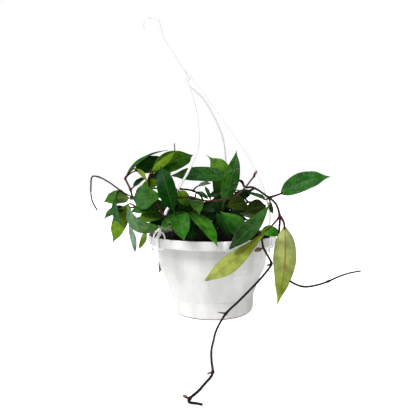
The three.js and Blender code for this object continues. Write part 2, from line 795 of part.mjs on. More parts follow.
pot();
saucer();
pottingMix();
leg('hanger_leg_left', -51, [
  at(-76, -46, 140),
  at(-71, -44, 156),
  at(-66, -42, 167),
  at(-53, -36, 192),
  at(-42, -30, 211),
  at(-33, -26, 229),
  at(-23, -18, 258),
  at(-22, -13, 280),
  at(-26, -8, 315),
], 240, 6);
leg('hanger_leg_right', 59, [
  at(84, -50, 138),
  at(85, -50, 153),
  at(82, -47, 172),
  at(75, -42, 194),
  at(66, -35, 217),
  at(52, -28, 244),
  at(33, -20, 272),
  at(10, -12, 306),
  at(-10, -7, 334),
], 0, 4);
leg('hanger_leg_back', 180, [
  at(-3, 97, 142),
  at(9, 89, 176),
  at(23, 74, 222),
  at(23, 62, 255),
  at(17, 48, 284),
  at(2, 30, 314),
  at(-16, 15, 340),
], 120, 4);
hook();

export default nodes;
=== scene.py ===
# %% [markdown]
# A potted wax plant, hoya pubicalyx, in a white hanging basket that stands on its saucer. The
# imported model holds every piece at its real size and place. This lesson dresses it: thick waxy
# leaves with silver flecks, thin brown vines, moulded white plastic and damp black potting mix.

import math
import random

import bmesh
import bpy
import numpy as np
from mathutils import Matrix, Vector


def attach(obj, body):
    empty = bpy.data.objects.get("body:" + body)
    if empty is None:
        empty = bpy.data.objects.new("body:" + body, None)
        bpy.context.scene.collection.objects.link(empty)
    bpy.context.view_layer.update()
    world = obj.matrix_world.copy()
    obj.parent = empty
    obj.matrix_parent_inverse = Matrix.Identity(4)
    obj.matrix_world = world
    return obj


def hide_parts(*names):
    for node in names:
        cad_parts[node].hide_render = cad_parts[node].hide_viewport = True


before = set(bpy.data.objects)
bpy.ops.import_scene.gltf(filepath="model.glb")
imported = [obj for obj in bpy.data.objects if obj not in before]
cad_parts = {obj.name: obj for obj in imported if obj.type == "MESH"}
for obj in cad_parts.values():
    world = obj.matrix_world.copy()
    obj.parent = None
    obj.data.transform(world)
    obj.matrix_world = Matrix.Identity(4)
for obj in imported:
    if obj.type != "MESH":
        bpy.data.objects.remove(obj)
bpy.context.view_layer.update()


# %% [markdown]
# Every length below is a real one in millimetres, and this one factor turns it to metres. The
# basket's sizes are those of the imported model, so the smooth pieces cover the plain ones exactly.

# %% Sizes of the basket, in millimetres
MM = 0.001
RIM_RADIUS = 101.6
RIM_TOP = 122
LIP_HEIGHT = 13.5
NECK_RADIUS = 87.4
FOOT_RADIUS = 66
SEAT_RADIUS = 63.2
SAUCER_HEIGHT = 26
WALL = 1.8
GAP = 0.3
SOIL_TOP = 118
print("basket:", 2 * RIM_RADIUS, "mm over the rim and", RIM_TOP, "mm high")


# %% [markdown]
# The camera stands where the photograph was taken: about 0.66 m from the basket's axis, 20 cm up
# and looking 3 degrees down. The picture is square, so the focal length in pixels and the sensor's
# width give the lens.

# %% Camera at the photograph's angle
PICTURE_SIDE = 416
FOCAL_PIXELS = 411
SENSOR = 36.0
CAMERA_PLACE = (-7 * MM, -657 * MM, 197 * MM)
CAMERA_PITCH = math.radians(-3)
scene = bpy.context.scene


def shown(name, data):
    """An object in the scene with this mesh, camera or light."""
    made = bpy.data.objects.new(name, data)
    scene.collection.objects.link(made)
    return made


lens = bpy.data.cameras.new("camera")
lens.sensor_width = SENSOR
lens.lens = SENSOR * FOCAL_PIXELS / PICTURE_SIDE
scene.camera = shown("camera", lens)
scene.camera.location = CAMERA_PLACE
scene.camera.rotation_euler = (math.pi / 2 + CAMERA_PITCH, 0, 0)
print("lens:", round(lens.lens, 2), "mm")


# %% [markdown]
# Every finish is a tree of nodes. The first helper turns a hex colour as seen on a screen into the
# linear numbers that light is added up in. The next two fill the sockets of a node and add a node.
# The fourth starts a material with its shader. The last two turn a real size in millimetres into the
# inputs of a noise, and lay two colours in its soft clouds.

# %% Helpers for node trees and materials
def srgb(code):
    """A hex colour as linear red, green, blue and alpha."""
    parts = [int(code[i:i + 2], 16) / 255 for i in (1, 3, 5)]
    return (*[c / 12.92 if c <= 0.04045 else ((c + 0.055) / 1.055) ** 2.4 for c in parts], 1.0)


def feed(tree, made, inputs):
    """Sets a node's sockets by name or number. A socket, or another node's result, is linked."""
    for name, value in inputs.items():
        if isinstance(value, bpy.types.Node):
            value = next(result for result in value.outputs if result.enabled)
        if isinstance(value, bpy.types.NodeSocket):
            tree.links.new(value, made.inputs[name])
        else:
            made.inputs[name].default_value = value


def node(tree, kind, inputs=(), **settings):
    """Adds a node with its settings and fills its sockets."""
    made = tree.nodes.new(kind)
    for name, value in settings.items():
        setattr(made, name, value)
    feed(tree, made, dict(inputs))
    return made


def finish_of(name, roughness, ior, specular=0.5):
    """A new material with its shader, and the place of each point on the object itself."""
    material = bpy.data.materials.new(name)
    material.use_nodes = True
    tree = material.node_tree
    shader = tree.nodes["Principled BSDF"]
    feed(tree, shader, {"Roughness": roughness, "IOR": ior, "Specular IOR Level": specular})
    return material, tree, shader, node(tree, "ShaderNodeTexCoord").outputs["Object"]


def sized(place, size_mm, detail=2.0):
    """The inputs of a noise whose clouds have a real size."""
    return {"Vector": place, "Scale": 1 / (size_mm * MM), "Detail": detail}


def clouded(tree, place, size_mm, detail, low, high, first, second, **settings):
    """Two colours in clouds of a real size. Returns the colour and the clouds themselves."""
    clouds = node(tree, "ShaderNodeTexNoise", sized(place, size_mm, detail))
    patch = node(tree, "ShaderNodeMapRange", {0: clouds, 1: low, 2: high}, **settings)
    colours = {0: patch, 6: srgb(first), 7: srgb(second)}
    return node(tree, "ShaderNodeMix", colours, data_type="RGBA"), clouds


print("mid grey #808080 is", round(srgb("#808080")[0], 3), "in linear light")


# %% [markdown]
# The basket and saucer are injection moulded polypropylene, a soft glossy plastic. It is white but
# never flat: the wall sinks a little where it cooled, which bends the light in broad soft folds,
# and upright greyer streaks of painted shade lie over it. Polypropylene's refractive index is about
# 1.49. A band of painted shade makes the basket grey under its lip, and a brown line of painted
# contact shadow stands where the saucer meets the surface. The thin hanger lets light through, for
# which a weak even glow of painted light stands.

# %% Moulded white polypropylene
PLASTIC_IOR = 1.49
SHADE_STREAK_WIDTH = 22
SHADE_STREAK_SHAPE = (1.0, 1.0, 0.22)
SINK_WIDTH = 45
WHITE = (1.0, 1.0, 1.0, 1.0)
# Bands of painted shade round a piece: colour, share, and the heights in millimetres where it starts, is full
# and stops
# A band of painted shade greys the neck under the lip, where the lip shades it
UNDER_LIP_SHADE = ("#b9b9b4", 0.5, 84, 106, 108.6)
# A thin brown line of painted contact shadow round the saucer's foot
CONTACT_SHADOW_LINE = ("#5c4a40", 0.9, 2.6, 1.4, 3)


def moulded_plastic(name, light, shade, roughness, sink_mm, bands=(), glow=0.0):
    """Glossy plastic with streaks of painted shade, folds of this depth where it sank, painted shade bands
    and a painted glow.
    """
    material, tree, shader, place = finish_of(name, roughness, PLASTIC_IOR)
    # Upright streaks of painted shade stand for the soft shading that the leaves cast on the wall
    upright = node(tree, "ShaderNodeVectorMath", {0: place, 1: SHADE_STREAK_SHAPE}, operation="MULTIPLY")
    colour, streaks = clouded(tree, upright, SHADE_STREAK_WIDTH, 2.0, 0.38, 0.68, light, shade,
                              interpolation_type="SMOOTHSTEP")
    height = node(tree, "ShaderNodeSeparateXYZ", {0: place}).outputs["Z"]
    for code, share, pale, full, end in bands:
        rise = node(tree, "ShaderNodeMapRange", {0: height, 1: pale * MM, 2: full * MM, 3: 0.0, 4: share})
        stop = node(tree, "ShaderNodeMath", {0: height, 1: end * MM}, operation="LESS_THAN")
        band = node(tree, "ShaderNodeMath", {0: rise, 1: stop}, operation="MULTIPLY")
        colour = node(tree, "ShaderNodeMix", {0: band, 6: colour, 7: srgb(code)}, data_type="RGBA")
    sheen = {0: streaks, 1: 0.3, 2: 0.7, 3: roughness - 0.05, 4: roughness + 0.08}
    feed(tree, shader, {
        "Base Color": colour,
        "Roughness": node(tree, "ShaderNodeMapRange", sheen),
        "Emission Color": WHITE,
        "Emission Strength": glow,
    })
    if sink_mm:
        sinks = node(tree, "ShaderNodeTexNoise", sized(place, SINK_WIDTH, 1.0))
        relief = node(tree, "ShaderNodeBump", {"Height": sinks, "Distance": sink_mm * MM, "Strength": 0.6})
        feed(tree, shader, {"Normal": relief})
    return material


basket_white = moulded_plastic("moulded white polypropylene", "#f6f5f3", "#e4e4e1", 0.3, 2.0, [UNDER_LIP_SHADE])
saucer_white = moulded_plastic("moulded white saucer polypropylene", "#f6f5f3", "#e4e4e1", 0.3, 2.0,
                               [CONTACT_SHADOW_LINE])
# The hanger's weak even glow is painted light, standing in for light that comes through its thin plastic
hanger_white = moulded_plastic("moulded white hanger polypropylene", "#ffffff", "#f8f8f7", 0.34, 0, glow=0.13)
print("plastics:", basket_white.name, "/", saucer_white.name, "/", hanger_white.name)


# %% [markdown]
# A hoya leaf is thick and waxy. Its upper side is dark green, with a paler rib, faint side veins
# and splashes of silver where air lies under the skin. Each leaf has its own green, which the mesh
# carries as a colour attribute with the amount of fleck in its alpha. The map's U runs along the
# blade and V across it, so that rib, veins and margin follow the leaf however it bends. The skin's
# wax has a refractive index of about 1.45, and its fine bloom takes away much of the mirror.

# %% Patterns that both sides of a leaf share
WAX_IOR = 1.45
LEAF_SPECULAR = 0.06
VEIN_PAIRS = 8
VEIN_SLANT = 1.3
VEIN_WOBBLE = 7


def blade_map(tree):
    """Along (0 at the base) and away from the rib (0 to 1)."""
    spot = node(tree, "ShaderNodeUVMap", uv_map="blade")
    parts = node(tree, "ShaderNodeSeparateXYZ", {0: spot}).outputs
    across = node(tree, "ShaderNodeMath", {0: parts["Y"], 1: 2.0, 2: -1.0}, operation="MULTIPLY_ADD")
    return parts["X"], node(tree, "ShaderNodeMath", {0: across}, operation="ABSOLUTE")


def side_veins(tree, place, along, away, fine):
    """Thin lines that leave the rib and run forward to the margin: 1 on a vein, 0 between."""
    wobble = node(tree, "ShaderNodeTexNoise", sized(place, VEIN_WOBBLE))
    drift = node(tree, "ShaderNodeMath", {0: away, 1: -VEIN_SLANT, 2: wobble}, operation="MULTIPLY_ADD")
    phase = node(tree, "ShaderNodeMath", {0: along, 1: VEIN_PAIRS, 2: drift}, operation="MULTIPLY_ADD")
    saw = node(tree, "ShaderNodeMath", {0: phase, 1: 0.5}, operation="PINGPONG")
    return node(tree, "ShaderNodeMapRange", {0: saw, 1: 0.0, 2: fine, 3: 1.0, 4: 0.0},
                interpolation_type="SMOOTHSTEP")


def grown_colour(tree, place, attribute, size_mm, detail, low, high, least, most):
    """The mesh's own colour, darker and lighter in clouds. Returns it, the clouds and its alpha."""
    tint = node(tree, "ShaderNodeAttribute", attribute_name=attribute).outputs
    clouds = node(tree, "ShaderNodeTexNoise", sized(place, size_mm, detail))
    # On the leaves these clouds are partly the blade's own uneven tone and partly painted sheen and shade
    tone_and_sheen = node(tree, "ShaderNodeMapRange", {0: clouds, 1: low, 2: high, 3: least, 4: most})
    colour = node(tree, "ShaderNodeVectorMath", {0: tint["Color"], 3: tone_and_sheen}, operation="SCALE")
    return colour, clouds, tint["Alpha"]


print("veins:", VEIN_PAIRS, "pairs on a leaf")


# %% [markdown]
# On the upper side the clouds are 9 mm wide, and the silver lies in splashes of 1.5 mm that gather in
# patches of 11 mm. A fine grain of 2.2 mm and the veins give the skin a relief of a tenth of a
# millimetre, which breaks up the light on it.

# %% Upper side of the leaves
def leaf_upper():
    material, tree, shader, place = finish_of("waxy upper leaf skin", 0.28, WAX_IOR, LEAF_SPECULAR)
    along, away = blade_map(tree)
    green, _, silver = grown_colour(tree, place, "tint", 9, 3.0, 0.32, 0.7, 0.6, 1.45)
    paler = node(tree, "ShaderNodeMix", {0: 0.3, 6: green, 7: srgb("#a9c878")}, data_type="RGBA")
    veins = side_veins(tree, place, along, away, 0.09)
    rib = node(tree, "ShaderNodeMapRange", {0: away, 1: 0.015, 2: 0.06, 3: 0.3, 4: 0.0})
    lines = node(tree, "ShaderNodeMath", {0: veins, 1: 0.07, 2: rib}, operation="MULTIPLY_ADD")
    colour = node(tree, "ShaderNodeMix", {0: lines, 6: green, 7: paler}, data_type="RGBA")
    rim = node(tree, "ShaderNodeMapRange", {0: away, 1: 0.93, 2: 0.99, 3: 0.0, 4: 0.5})
    colour = node(tree, "ShaderNodeMix", {0: rim, 6: colour, 7: srgb("#0c2006")}, data_type="RGBA")
    broad = node(tree, "ShaderNodeTexNoise", sized(place, 11, 1.0))
    patches = node(tree, "ShaderNodeMapRange", {0: broad, 1: 0.4, 2: 0.65})
    fine = node(tree, "ShaderNodeTexNoise", {**sized(place, 1.5, 3.0), "Distortion": 0.6})
    splash = node(tree, "ShaderNodeMapRange", {0: fine, 1: 0.6, 2: 0.66})
    fleck = node(tree, "ShaderNodeMath", {0: splash, 1: patches}, operation="MULTIPLY")
    fleck = node(tree, "ShaderNodeMath", {0: fleck, 1: silver}, operation="MULTIPLY")
    colour = node(tree, "ShaderNodeMix", {0: fleck, 6: colour, 7: srgb("#8fa888")}, data_type="RGBA")
    grain = node(tree, "ShaderNodeTexNoise", sized(place, 2.2))
    height = node(tree, "ShaderNodeMath", {0: grain, 1: 0.7, 2: veins}, operation="MULTIPLY_ADD")
    relief = node(tree, "ShaderNodeBump", {"Height": height, "Distance": 0.12 * MM})
    gloss = node(tree, "ShaderNodeMapRange", {0: broad, 1: 0.3, 2: 0.7, 3: 0.24, 4: 0.4})
    feed(tree, shader, {"Base Color": colour, "Roughness": gloss, "Normal": relief})
    return material


upper_skin = leaf_upper()
print("upper side:", upper_skin.name)


# %% [markdown]
# The underside is matt and lime green, with a raised pink-brown rib, netted veins that barely show
# and a thin dark line at the margin. The same map draws them. The alpha of the leaf's second colour
# attribute says how brown its rib is.

# %% Underside of the leaves
def leaf_under():
    material, tree, shader, place = finish_of("matt lime leaf underside", 0.5, 1.42, LEAF_SPECULAR)
    along, away = blade_map(tree)
    green, _, brown = grown_colour(tree, place, "under", 12, 3.0, 0.34, 0.68, 0.68, 1.25)
    veins = side_veins(tree, place, along, away, 0.08)
    faint = node(tree, "ShaderNodeMath", {0: veins, 1: 0.12}, operation="MULTIPLY")
    colour = node(tree, "ShaderNodeMix", {0: faint, 6: green, 7: srgb("#e2e6a8")}, data_type="RGBA")
    rib = node(tree, "ShaderNodeMapRange", {0: away, 1: 0.03, 2: 0.07, 3: 0.85, 4: 0.0})
    rib = node(tree, "ShaderNodeMath", {0: rib, 1: brown}, operation="MULTIPLY")
    colour = node(tree, "ShaderNodeMix", {0: rib, 6: colour, 7: srgb("#94552f")}, data_type="RGBA")
    rim = node(tree, "ShaderNodeMapRange", {0: away, 1: 0.95, 2: 0.99, 3: 0.0, 4: 0.7})
    colour = node(tree, "ShaderNodeMix", {0: rim, 6: colour, 7: srgb("#4a3a18")}, data_type="RGBA")
    grain = node(tree, "ShaderNodeTexNoise", sized(place, 1.2))
    height = node(tree, "ShaderNodeMath", {0: grain, 1: 0.5, 2: faint}, operation="MULTIPLY_ADD")
    relief = node(tree, "ShaderNodeBump", {"Height": height, "Distance": 0.1 * MM})
    feed(tree, shader, {"Base Color": colour, "Normal": relief})
    return material


under_skin = leaf_under()
print("underside:", under_skin.name)


# %% [markdown]
# Leaf stalks are dull red to green, and the vines are thin brown bark that turns purple-red
# where it is young, with pale breathing pores. Three colours give each bark: its dark and light
# clouds, 6 mm wide, and its pores, which sit in a grain of 0.9 mm.

# %% Leaf stalks and the bark of the vines
def stalk_skin():
    material, tree, shader, place = finish_of("leaf stalk skin", 0.42, WAX_IOR, LEAF_SPECULAR)
    colour, streaks, _ = grown_colour(tree, place, "tint", 3, 2.0, 0.3, 0.7, 0.75, 1.25)
    relief = node(tree, "ShaderNodeBump", {"Height": streaks, "Distance": 0.15 * MM})
    feed(tree, shader, {"Base Color": colour, "Normal": relief})
    return material


def bark(name, dark, light, pores):
    material, tree, shader, place = finish_of(name, 0.46, 1.5, 0.15)
    colour, clouds = clouded(tree, place, 6, 3.0, 0.35, 0.65, dark, light)
    grain = node(tree, "ShaderNodeTexNoise", sized(place, 0.9))
    dots = node(tree, "ShaderNodeMapRange", {0: grain, 1: 0.63, 2: 0.7, 3: 0.0, 4: 0.6})
    colour = node(tree, "ShaderNodeMix", {0: dots, 6: colour, 7: srgb(pores)}, data_type="RGBA")
    relief = node(tree, "ShaderNodeBump", {"Height": grain, "Distance": 0.2 * MM})
    feed(tree, shader, {"Base Color": colour, "Normal": relief})
    return material


stalk_green = stalk_skin()
old_bark = bark("dark vine bark", "#180b0d", "#2e171b", "#4f3a34")
young_bark = bark("red-brown vine bark", "#361a19", "#56302b", "#8f6a5c")
purple_bark = bark("purple tendril bark", "#2c1219", "#4a2430", "#75505a")
green_bark = bark("green-brown vine bark", "#3a2414", "#5a3a22", "#80764c")
stub_bark = bark("grey-violet stub bark", "#3a343e", "#5a5462", "#7a7480")
print("barks:", [skin.name for skin in (old_bark, young_bark, purple_bark, green_bark, stub_bark)])


# %% [markdown]
# A helper makes an object from corner points and faces. Each finished piece then rides on the one
# body, replaces its plain node and names the slot of the record that its finish stands for. Round
# bars are all made of rings of points, so one function gives the faces between them.

# %% Helpers for pieces
def mesh_object(name, points, faces, materials, face_materials=None):
    """A smooth-shaded object at the origin, from points in millimetres."""
    mesh = bpy.data.meshes.new(name)
    mesh.from_pydata([tuple(p) for p in np.asarray(points, float) * MM], [], faces)
    for material in materials:
        mesh.materials.append(material)
    if face_materials is not None:
        mesh.polygons.foreach_set("material_index", face_materials)
    mesh.polygons.foreach_set("use_smooth", [True] * len(mesh.polygons))
    mesh.update()
    return shown(name, mesh)


def tube_faces(rings, sides):
    """Faces of a tube of rings, numbered ring by ring, with a cap at each end."""
    faces = []
    last = (rings - 1) * sides
    for first in range(0, last, sides):
        for corner in range(sides):
            a, b = first + corner, first + (corner + 1) % sides
            faces.append((a, b, b + sides, a + sides))
    return [*faces, tuple(reversed(range(sides))), tuple(range(last, last + sides))]


def cleaned(made, outward=True):
    """Merges doubled points and, for a closed shell, turns its faces outwards."""
    shape = bmesh.new()
    shape.from_mesh(made.data)
    bmesh.ops.remove_doubles(shape, verts=shape.verts, dist=0.004 * MM)
    bmesh.ops.dissolve_degenerate(shape, edges=shape.edges, dist=0.001 * MM)
    if outward:
        bmesh.ops.recalc_face_normals(shape, faces=shape.faces)
    shape.to_mesh(made.data)
    shape.free()
    return made


def plain_mesh(made):
    """Turns the object's live modifiers into its mesh and removes them."""
    graph = bpy.context.evaluated_depsgraph_get()
    made.data = bpy.data.meshes.new_from_object(made.evaluated_get(graph))
    made.modifiers.clear()
    return made


def placed(made, slot, node_name):
    """The finished piece rides on the plant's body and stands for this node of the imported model."""
    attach(made, "root")
    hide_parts(node_name)
    print(made.name, "in", slot + ":", len(made.data.polygons), "faces")


# %% [markdown]
# A blade is drawn from real sizes: where it starts and ends, how wide it is and which way its
# upper side looks. Its outline swells from a narrow base, is widest a third of the way along and
# is drawn out to a point. The half widths below are shares of the full one, joined by a smooth
# curve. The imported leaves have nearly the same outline, so the fine blade keeps their form.

# %% Outline and cross section of a blade
OUTLINE_ALONG = [0, 0.12, 0.34, 0.6, 0.84, 0.93, 1]
OUTLINE_SHARE = [0.12, 0.66, 1, 0.94, 0.52, 0.22, 0.03]
ROWS_ALONG = 30
PAST_TIP = 1.012
COLUMNS = np.array([0, 0.035, 0.08, 0.18, 0.34, 0.54, 0.74, 0.9, 0.975, 1.0])
ACROSS = np.concatenate([-COLUMNS[:0:-1], COLUMNS])
BLADE_THICKNESS = 1.1
END_THICKNESS = 0.35
BASE_TUCK = 1.5
RIB_HEIGHT = 0.45
RIB_WIDTH = 0.9


def unit(v):
    return v / np.linalg.norm(v)


def outline_share(u):
    """Half width as a share of the widest, by a cubic through the outline's points."""
    x, y = np.array(OUTLINE_ALONG, float), np.array(OUTLINE_SHARE, float)
    slope = np.gradient(y, x)
    i = int(np.clip(np.searchsorted(x, u) - 1, 0, len(x) - 2))
    step = x[i + 1] - x[i]
    t = min(1.0, max(0.0, (u - x[i]) / step))
    near = (1 + 2 * t) * (1 - t) ** 2 * y[i] + t * (1 - t) ** 2 * step * slope[i]
    far = t * t * (3 - 2 * t) * y[i + 1] + t * t * (t - 1) * step * slope[i + 1]
    return near + far


def eased(x):
    """0 below 0, 1 above 1 and a soft step between."""
    x = min(1.0, max(0.0, x))
    return x * x * (3 - 2 * x)


def turned_about(v, axis, angle):
    """The direction v turned round an axis."""
    across_axis = v * math.cos(angle) + np.cross(axis, v) * math.sin(angle)
    return across_axis + axis * np.dot(axis, v) * (1 - math.cos(angle))


def tint_at(look, u, w):
    """A leaf's colour at a point. look is one hex colour, two from base to tip, or two and "across"."""
    if isinstance(look, str):
        return np.array(srgb(look)[:3])
    first, second, *across = look
    share = eased(0.5 + 0.5 * w if across else u)
    return (1 - share) * np.array(srgb(first)[:3]) + share * np.array(srgb(second)[:3])


print("blade:", ROWS_ALONG, "rows of", len(ACROSS), "points on each side")


# %% [markdown]
# A vine gathers the points and faces of all its leaves first, and they become one mesh at the end.
# That mesh has three materials, the map of each blade and the two colour attributes. Random numbers
# start from the vine's name, so a leaf's ripples are the same from run to run.

# %% The leaves of one vine
LEAF_SKINS = [upper_skin, under_skin, stalk_green]
UPPER, UNDER, STALK = range(3)


class Leaves:
    """Points, faces and attributes of all the leaves on one vine."""

    def __init__(self, seed):
        self.random = random.Random(seed)
        self.points, self.faces, self.skins, self.maps, self.tints, self.unders = [], [], [], [], [], []

    def add_point(self, point, tint, under):
        """Keeps a point with its two colours and returns its number."""
        self.points.append(point)
        self.tints.append(tint)
        self.unders.append(under)
        return len(self.points) - 1

    def add_face(self, corners, skin, spots):
        self.faces.append(corners)
        self.skins.append(skin)
        self.maps.extend(spots)

    def piece(self, name):
        """The leaves as one mesh with their map and their two colour attributes."""
        made = mesh_object(name, self.points, self.faces, LEAF_SKINS, self.skins)
        spots = made.data.uv_layers.new(name="blade")
        spots.data.foreach_set("uv", [x for spot in self.maps for x in spot])
        for title, values in (("tint", self.tints), ("under", self.unders)):
            colours = made.data.color_attributes.new(title, "FLOAT_COLOR", "POINT")
            colours.data.foreach_set("color", [x for value in values for x in value])
        return cleaned(made, outward=False)


print("skins of a leaf:", [skin.name for skin in LEAF_SKINS])


# %% [markdown]
# The stalk is a short round rod that swells where it meets the vine and runs a little way into
# the blade. It bends like a cane that is held at both ends, which a quadratic curve gives.

# %% The stalk of a leaf
STALK_RINGS = 7
STALK_SIDES = 8
STALK_INSIDE = 3.0
STALK_BEND = 0.45
STALK_THINNING = 0.35
STALK_SWELL = 0.35
SWELL_LENGTH = 0.12
# Any direction does here that no leaf points along
OFF_AXIS = (0.31, 0.17, 0.93)


def add_stalk(leaves, root, base, way, colour, thick):
    inside = base + way * STALK_INSIDE
    bend = base - way * (STALK_BEND * np.linalg.norm(base - root))
    tint = [*srgb(colour)[:3], 0.0]
    across = unit(np.cross(way, OFF_AXIS))
    first = len(leaves.points)
    for ring in range(STALK_RINGS):
        t = ring / (STALK_RINGS - 1)
        centre = (1 - t) ** 2 * root + 2 * t * (1 - t) * bend + t * t * inside
        ahead = unit(2 * (1 - t) * (bend - root) + 2 * t * (inside - bend))
        right = unit(across - ahead * np.dot(across, ahead))
        high = np.cross(ahead, right)
        swell = STALK_SWELL * math.exp(-((t / SWELL_LENGTH) ** 2))
        radius = thick * (1.05 - STALK_THINNING * t + swell)
        for corner in range(STALK_SIDES):
            angle = 2 * math.pi * corner / STALK_SIDES
            spot = centre + right * (radius * math.cos(angle)) + high * (radius * math.sin(angle))
            leaves.add_point(spot, tint, tint)
    for corners in tube_faces(STALK_RINGS, STALK_SIDES):
        leaves.add_face([first + i for i in corners], STALK, [(0, 0)] * len(corners))


print("stalk:", STALK_RINGS, "rings of", STALK_SIDES)


# %% [markdown]
# Each blade is a closed lens of points: the upper sheet, the lower sheet with its raised rib, and a
# margin that both share. A flat blade could be bent by modifiers, but placing every row on a curved
# midrib keeps its base and tip exactly where they are wanted. arch lifts the midrib and bow bends it
# sideways. fold closes the blade like a book and twist turns it. blunt, slim, drawn and beak change
# the outline: a fuller tip, a slimmer base, a slimmer outer half, a thinner point.

# %% One blade
def add_sheet(leaves, grid, skin, steps):
    """The faces of one sheet. grid holds each row's point numbers and steps its place on the leaf."""
    for row in range(len(grid) - 1):
        for column in range(len(ACROSS) - 1):
            corners = [(row, column), (row, column + 1), (row + 1, column + 1), (row + 1, column)]
            if skin == UNDER:
                corners.reverse()
            spots = [(steps[r], 0.5 + 0.5 * ACROSS[c]) for r, c in corners]
            leaves.add_face([grid[r][c] for r, c in corners], skin, spots)


def add_blade(leaves, root, base, tip, width, face, arch=6, bow=0, fold=0.2, twist=0, blunt=0, slim=0,
              drawn=0, beak=0.3, ripple=0.4, top="#2b5c1a", under="#46661e", fleck=0.25, rib=1.0,
              stalk="#4b2a22", stalk_radius=1.3):
    """A leaf on its stalk from root. face is the way that its upper side looks."""
    root, base, tip, face = (np.array(v, float) for v in (root, base, tip, face))
    along = tip - base
    way = unit(along)
    up = unit(face - way * np.dot(face, way))
    side = np.cross(way, up)
    phases = [leaves.random.uniform(0, 2 * math.pi) for _ in range(2)]
    waves = leaves.random.uniform(1.6, 2.6)

    def midrib(u):
        lift = math.sin(math.pi * u)
        return base + along * u + up * (arch * lift) + side * (bow * lift)

    steps = [0.0, *np.linspace(0, 1, ROWS_ALONG), PAST_TIP]
    grid_top, grid_low = [], []
    for row, u in enumerate(steps):
        ahead = unit(midrib(u + 0.01) - midrib(u - 0.01))
        right = turned_about(side, way, twist * (u - 0.3))
        right = unit(right - ahead * np.dot(right, ahead))
        normal = np.cross(right, ahead)
        open_row = 0 < row < len(steps) - 1
        share = outline_share(u) + blunt * u * u * math.sqrt(max(0, 1.04 - u))
        share *= (1 - slim * (1 - eased(u / 0.8))) * (1 - drawn * eased((u - 0.35) / 0.5))
        share *= 1 - beak * eased((u - 0.74) / 0.2)
        half = width / 2 * share if open_row else 0.0
        bell = math.sin(math.pi * min(1.0, max(0.0, u))) ** 0.5
        thick = BLADE_THICKNESS / 2 * (END_THICKNESS + (1 - END_THICKNESS) * bell) if open_row else 0.0
        centre = midrib(u) - (ahead * BASE_TUCK if row == 0 else 0)
        top_row, low_row = [], []
        for column, w in enumerate(ACROSS):
            edge = abs(w)
            wave = ripple * edge * edge * math.sin(2 * math.pi * waves * u + phases[int(w > 0)])
            lift = half * math.sin(fold) * edge ** 1.4 + (wave * bell if open_row else 0)
            middle = centre + right * (half * math.cos(fold) * w) + normal * lift
            body = thick * math.sqrt(max(0.0, 1 - edge ** 4))
            ridge = math.exp(-((edge * half / RIB_WIDTH) ** 2)) * (1 - 0.7 * u) * (1 if open_row else 0)
            colours = [*tint_at(top, min(1, u), w), fleck], [*tint_at(under, min(1, u), w), rib]
            groove = 0.35 * RIB_HEIGHT * ridge
            top_row.append(leaves.add_point(middle + normal * (body - groove), *colours))
            low_row.append(top_row[-1])
            if edge < 1:
                low_row[-1] = leaves.add_point(middle - normal * (body + RIB_HEIGHT * ridge), *colours)
        grid_top.append(top_row)
        grid_low.append(low_row)
    for grid, skin in ((grid_top, UPPER), (grid_low, UNDER)):
        add_sheet(leaves, grid, skin, [min(1.0, u) for u in steps])
    add_stalk(leaves, root, base, way, stalk, stalk_radius)


print("a blade has", 2 * (ROWS_ALONG + 1) * (len(ACROSS) - 1), "faces before its ends are merged")


# %% [markdown]
# A stem follows given points. The curve is a cubic spline with centripetal spacing, as in the
# packed stems, so it passes through each point without loops. Stems swell at their nodes and taper
# to their ends. Python works out the line and its thickness; Geometry Nodes give it its round body.

# %% The line of a stem
STEM_RADIUS = 1.3
RUNNER_RADIUS = 1.1
ARCH_RADIUS = 1.4
TENDRIL_RADIUS = 0.9
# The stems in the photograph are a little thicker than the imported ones
BARK_GROWTH = 1.2
JOINT_SWELL = 0.5
JOINT_LENGTH = 2.6


def smooth_line(points, per_span=8):
    """A centripetal spline through the points, in millimetres."""
    p = [np.array(v, float) for v in points]
    p = [2 * p[0] - p[1], *p, 2 * p[-1] - p[-2]]
    line = []
    for i in range(1, len(p) - 2):
        gaps = [max(1e-4, np.linalg.norm(p[i + k] - p[i + k - 1]) ** 0.5) for k in (0, 1, 2)]
        first = ((p[i] - p[i - 1]) / gaps[0] - (p[i + 1] - p[i - 1]) / (gaps[0] + gaps[1])
                 + (p[i + 1] - p[i]) / gaps[1]) * gaps[1]
        second = ((p[i + 1] - p[i]) / gaps[1] - (p[i + 2] - p[i]) / (gaps[1] + gaps[2])
                  + (p[i + 2] - p[i + 1]) / gaps[2]) * gaps[1]
        for step in range(per_span):
            t = step / per_span
            line.append((2 * t ** 3 - 3 * t * t + 1) * p[i] + (t ** 3 - 2 * t * t + t) * first
                        + (3 * t * t - 2 * t ** 3) * p[i + 1] + (t ** 3 - t * t) * second)
    line.append(p[-2])
    return np.array(line)


def stem_thickness(line, radius, joints, taper):
    """Radius at each point: a swelling at each joint of the stem and a thinner end."""
    share = np.linspace(0, 1, len(line))
    thick = BARK_GROWTH * radius * (1 - taper * share ** 3)
    for joint in joints:
        away = np.linalg.norm(line - np.array(joint, float), axis=1)
        thick = thick + JOINT_SWELL * radius * np.exp(-((away / JOINT_LENGTH) ** 2))
    return thick


print("stems:", 2 * STEM_RADIUS, "mm thick, the tendrils", 2 * TENDRIL_RADIUS)


# %% [markdown]
# A Geometry Nodes tree needs sockets for what it takes in, and a modifier that runs it. The first
# helper opens a tree with named inputs. The second runs it over an object, with each input set by
# its socket's identifier, and keeps the result as a plain mesh.

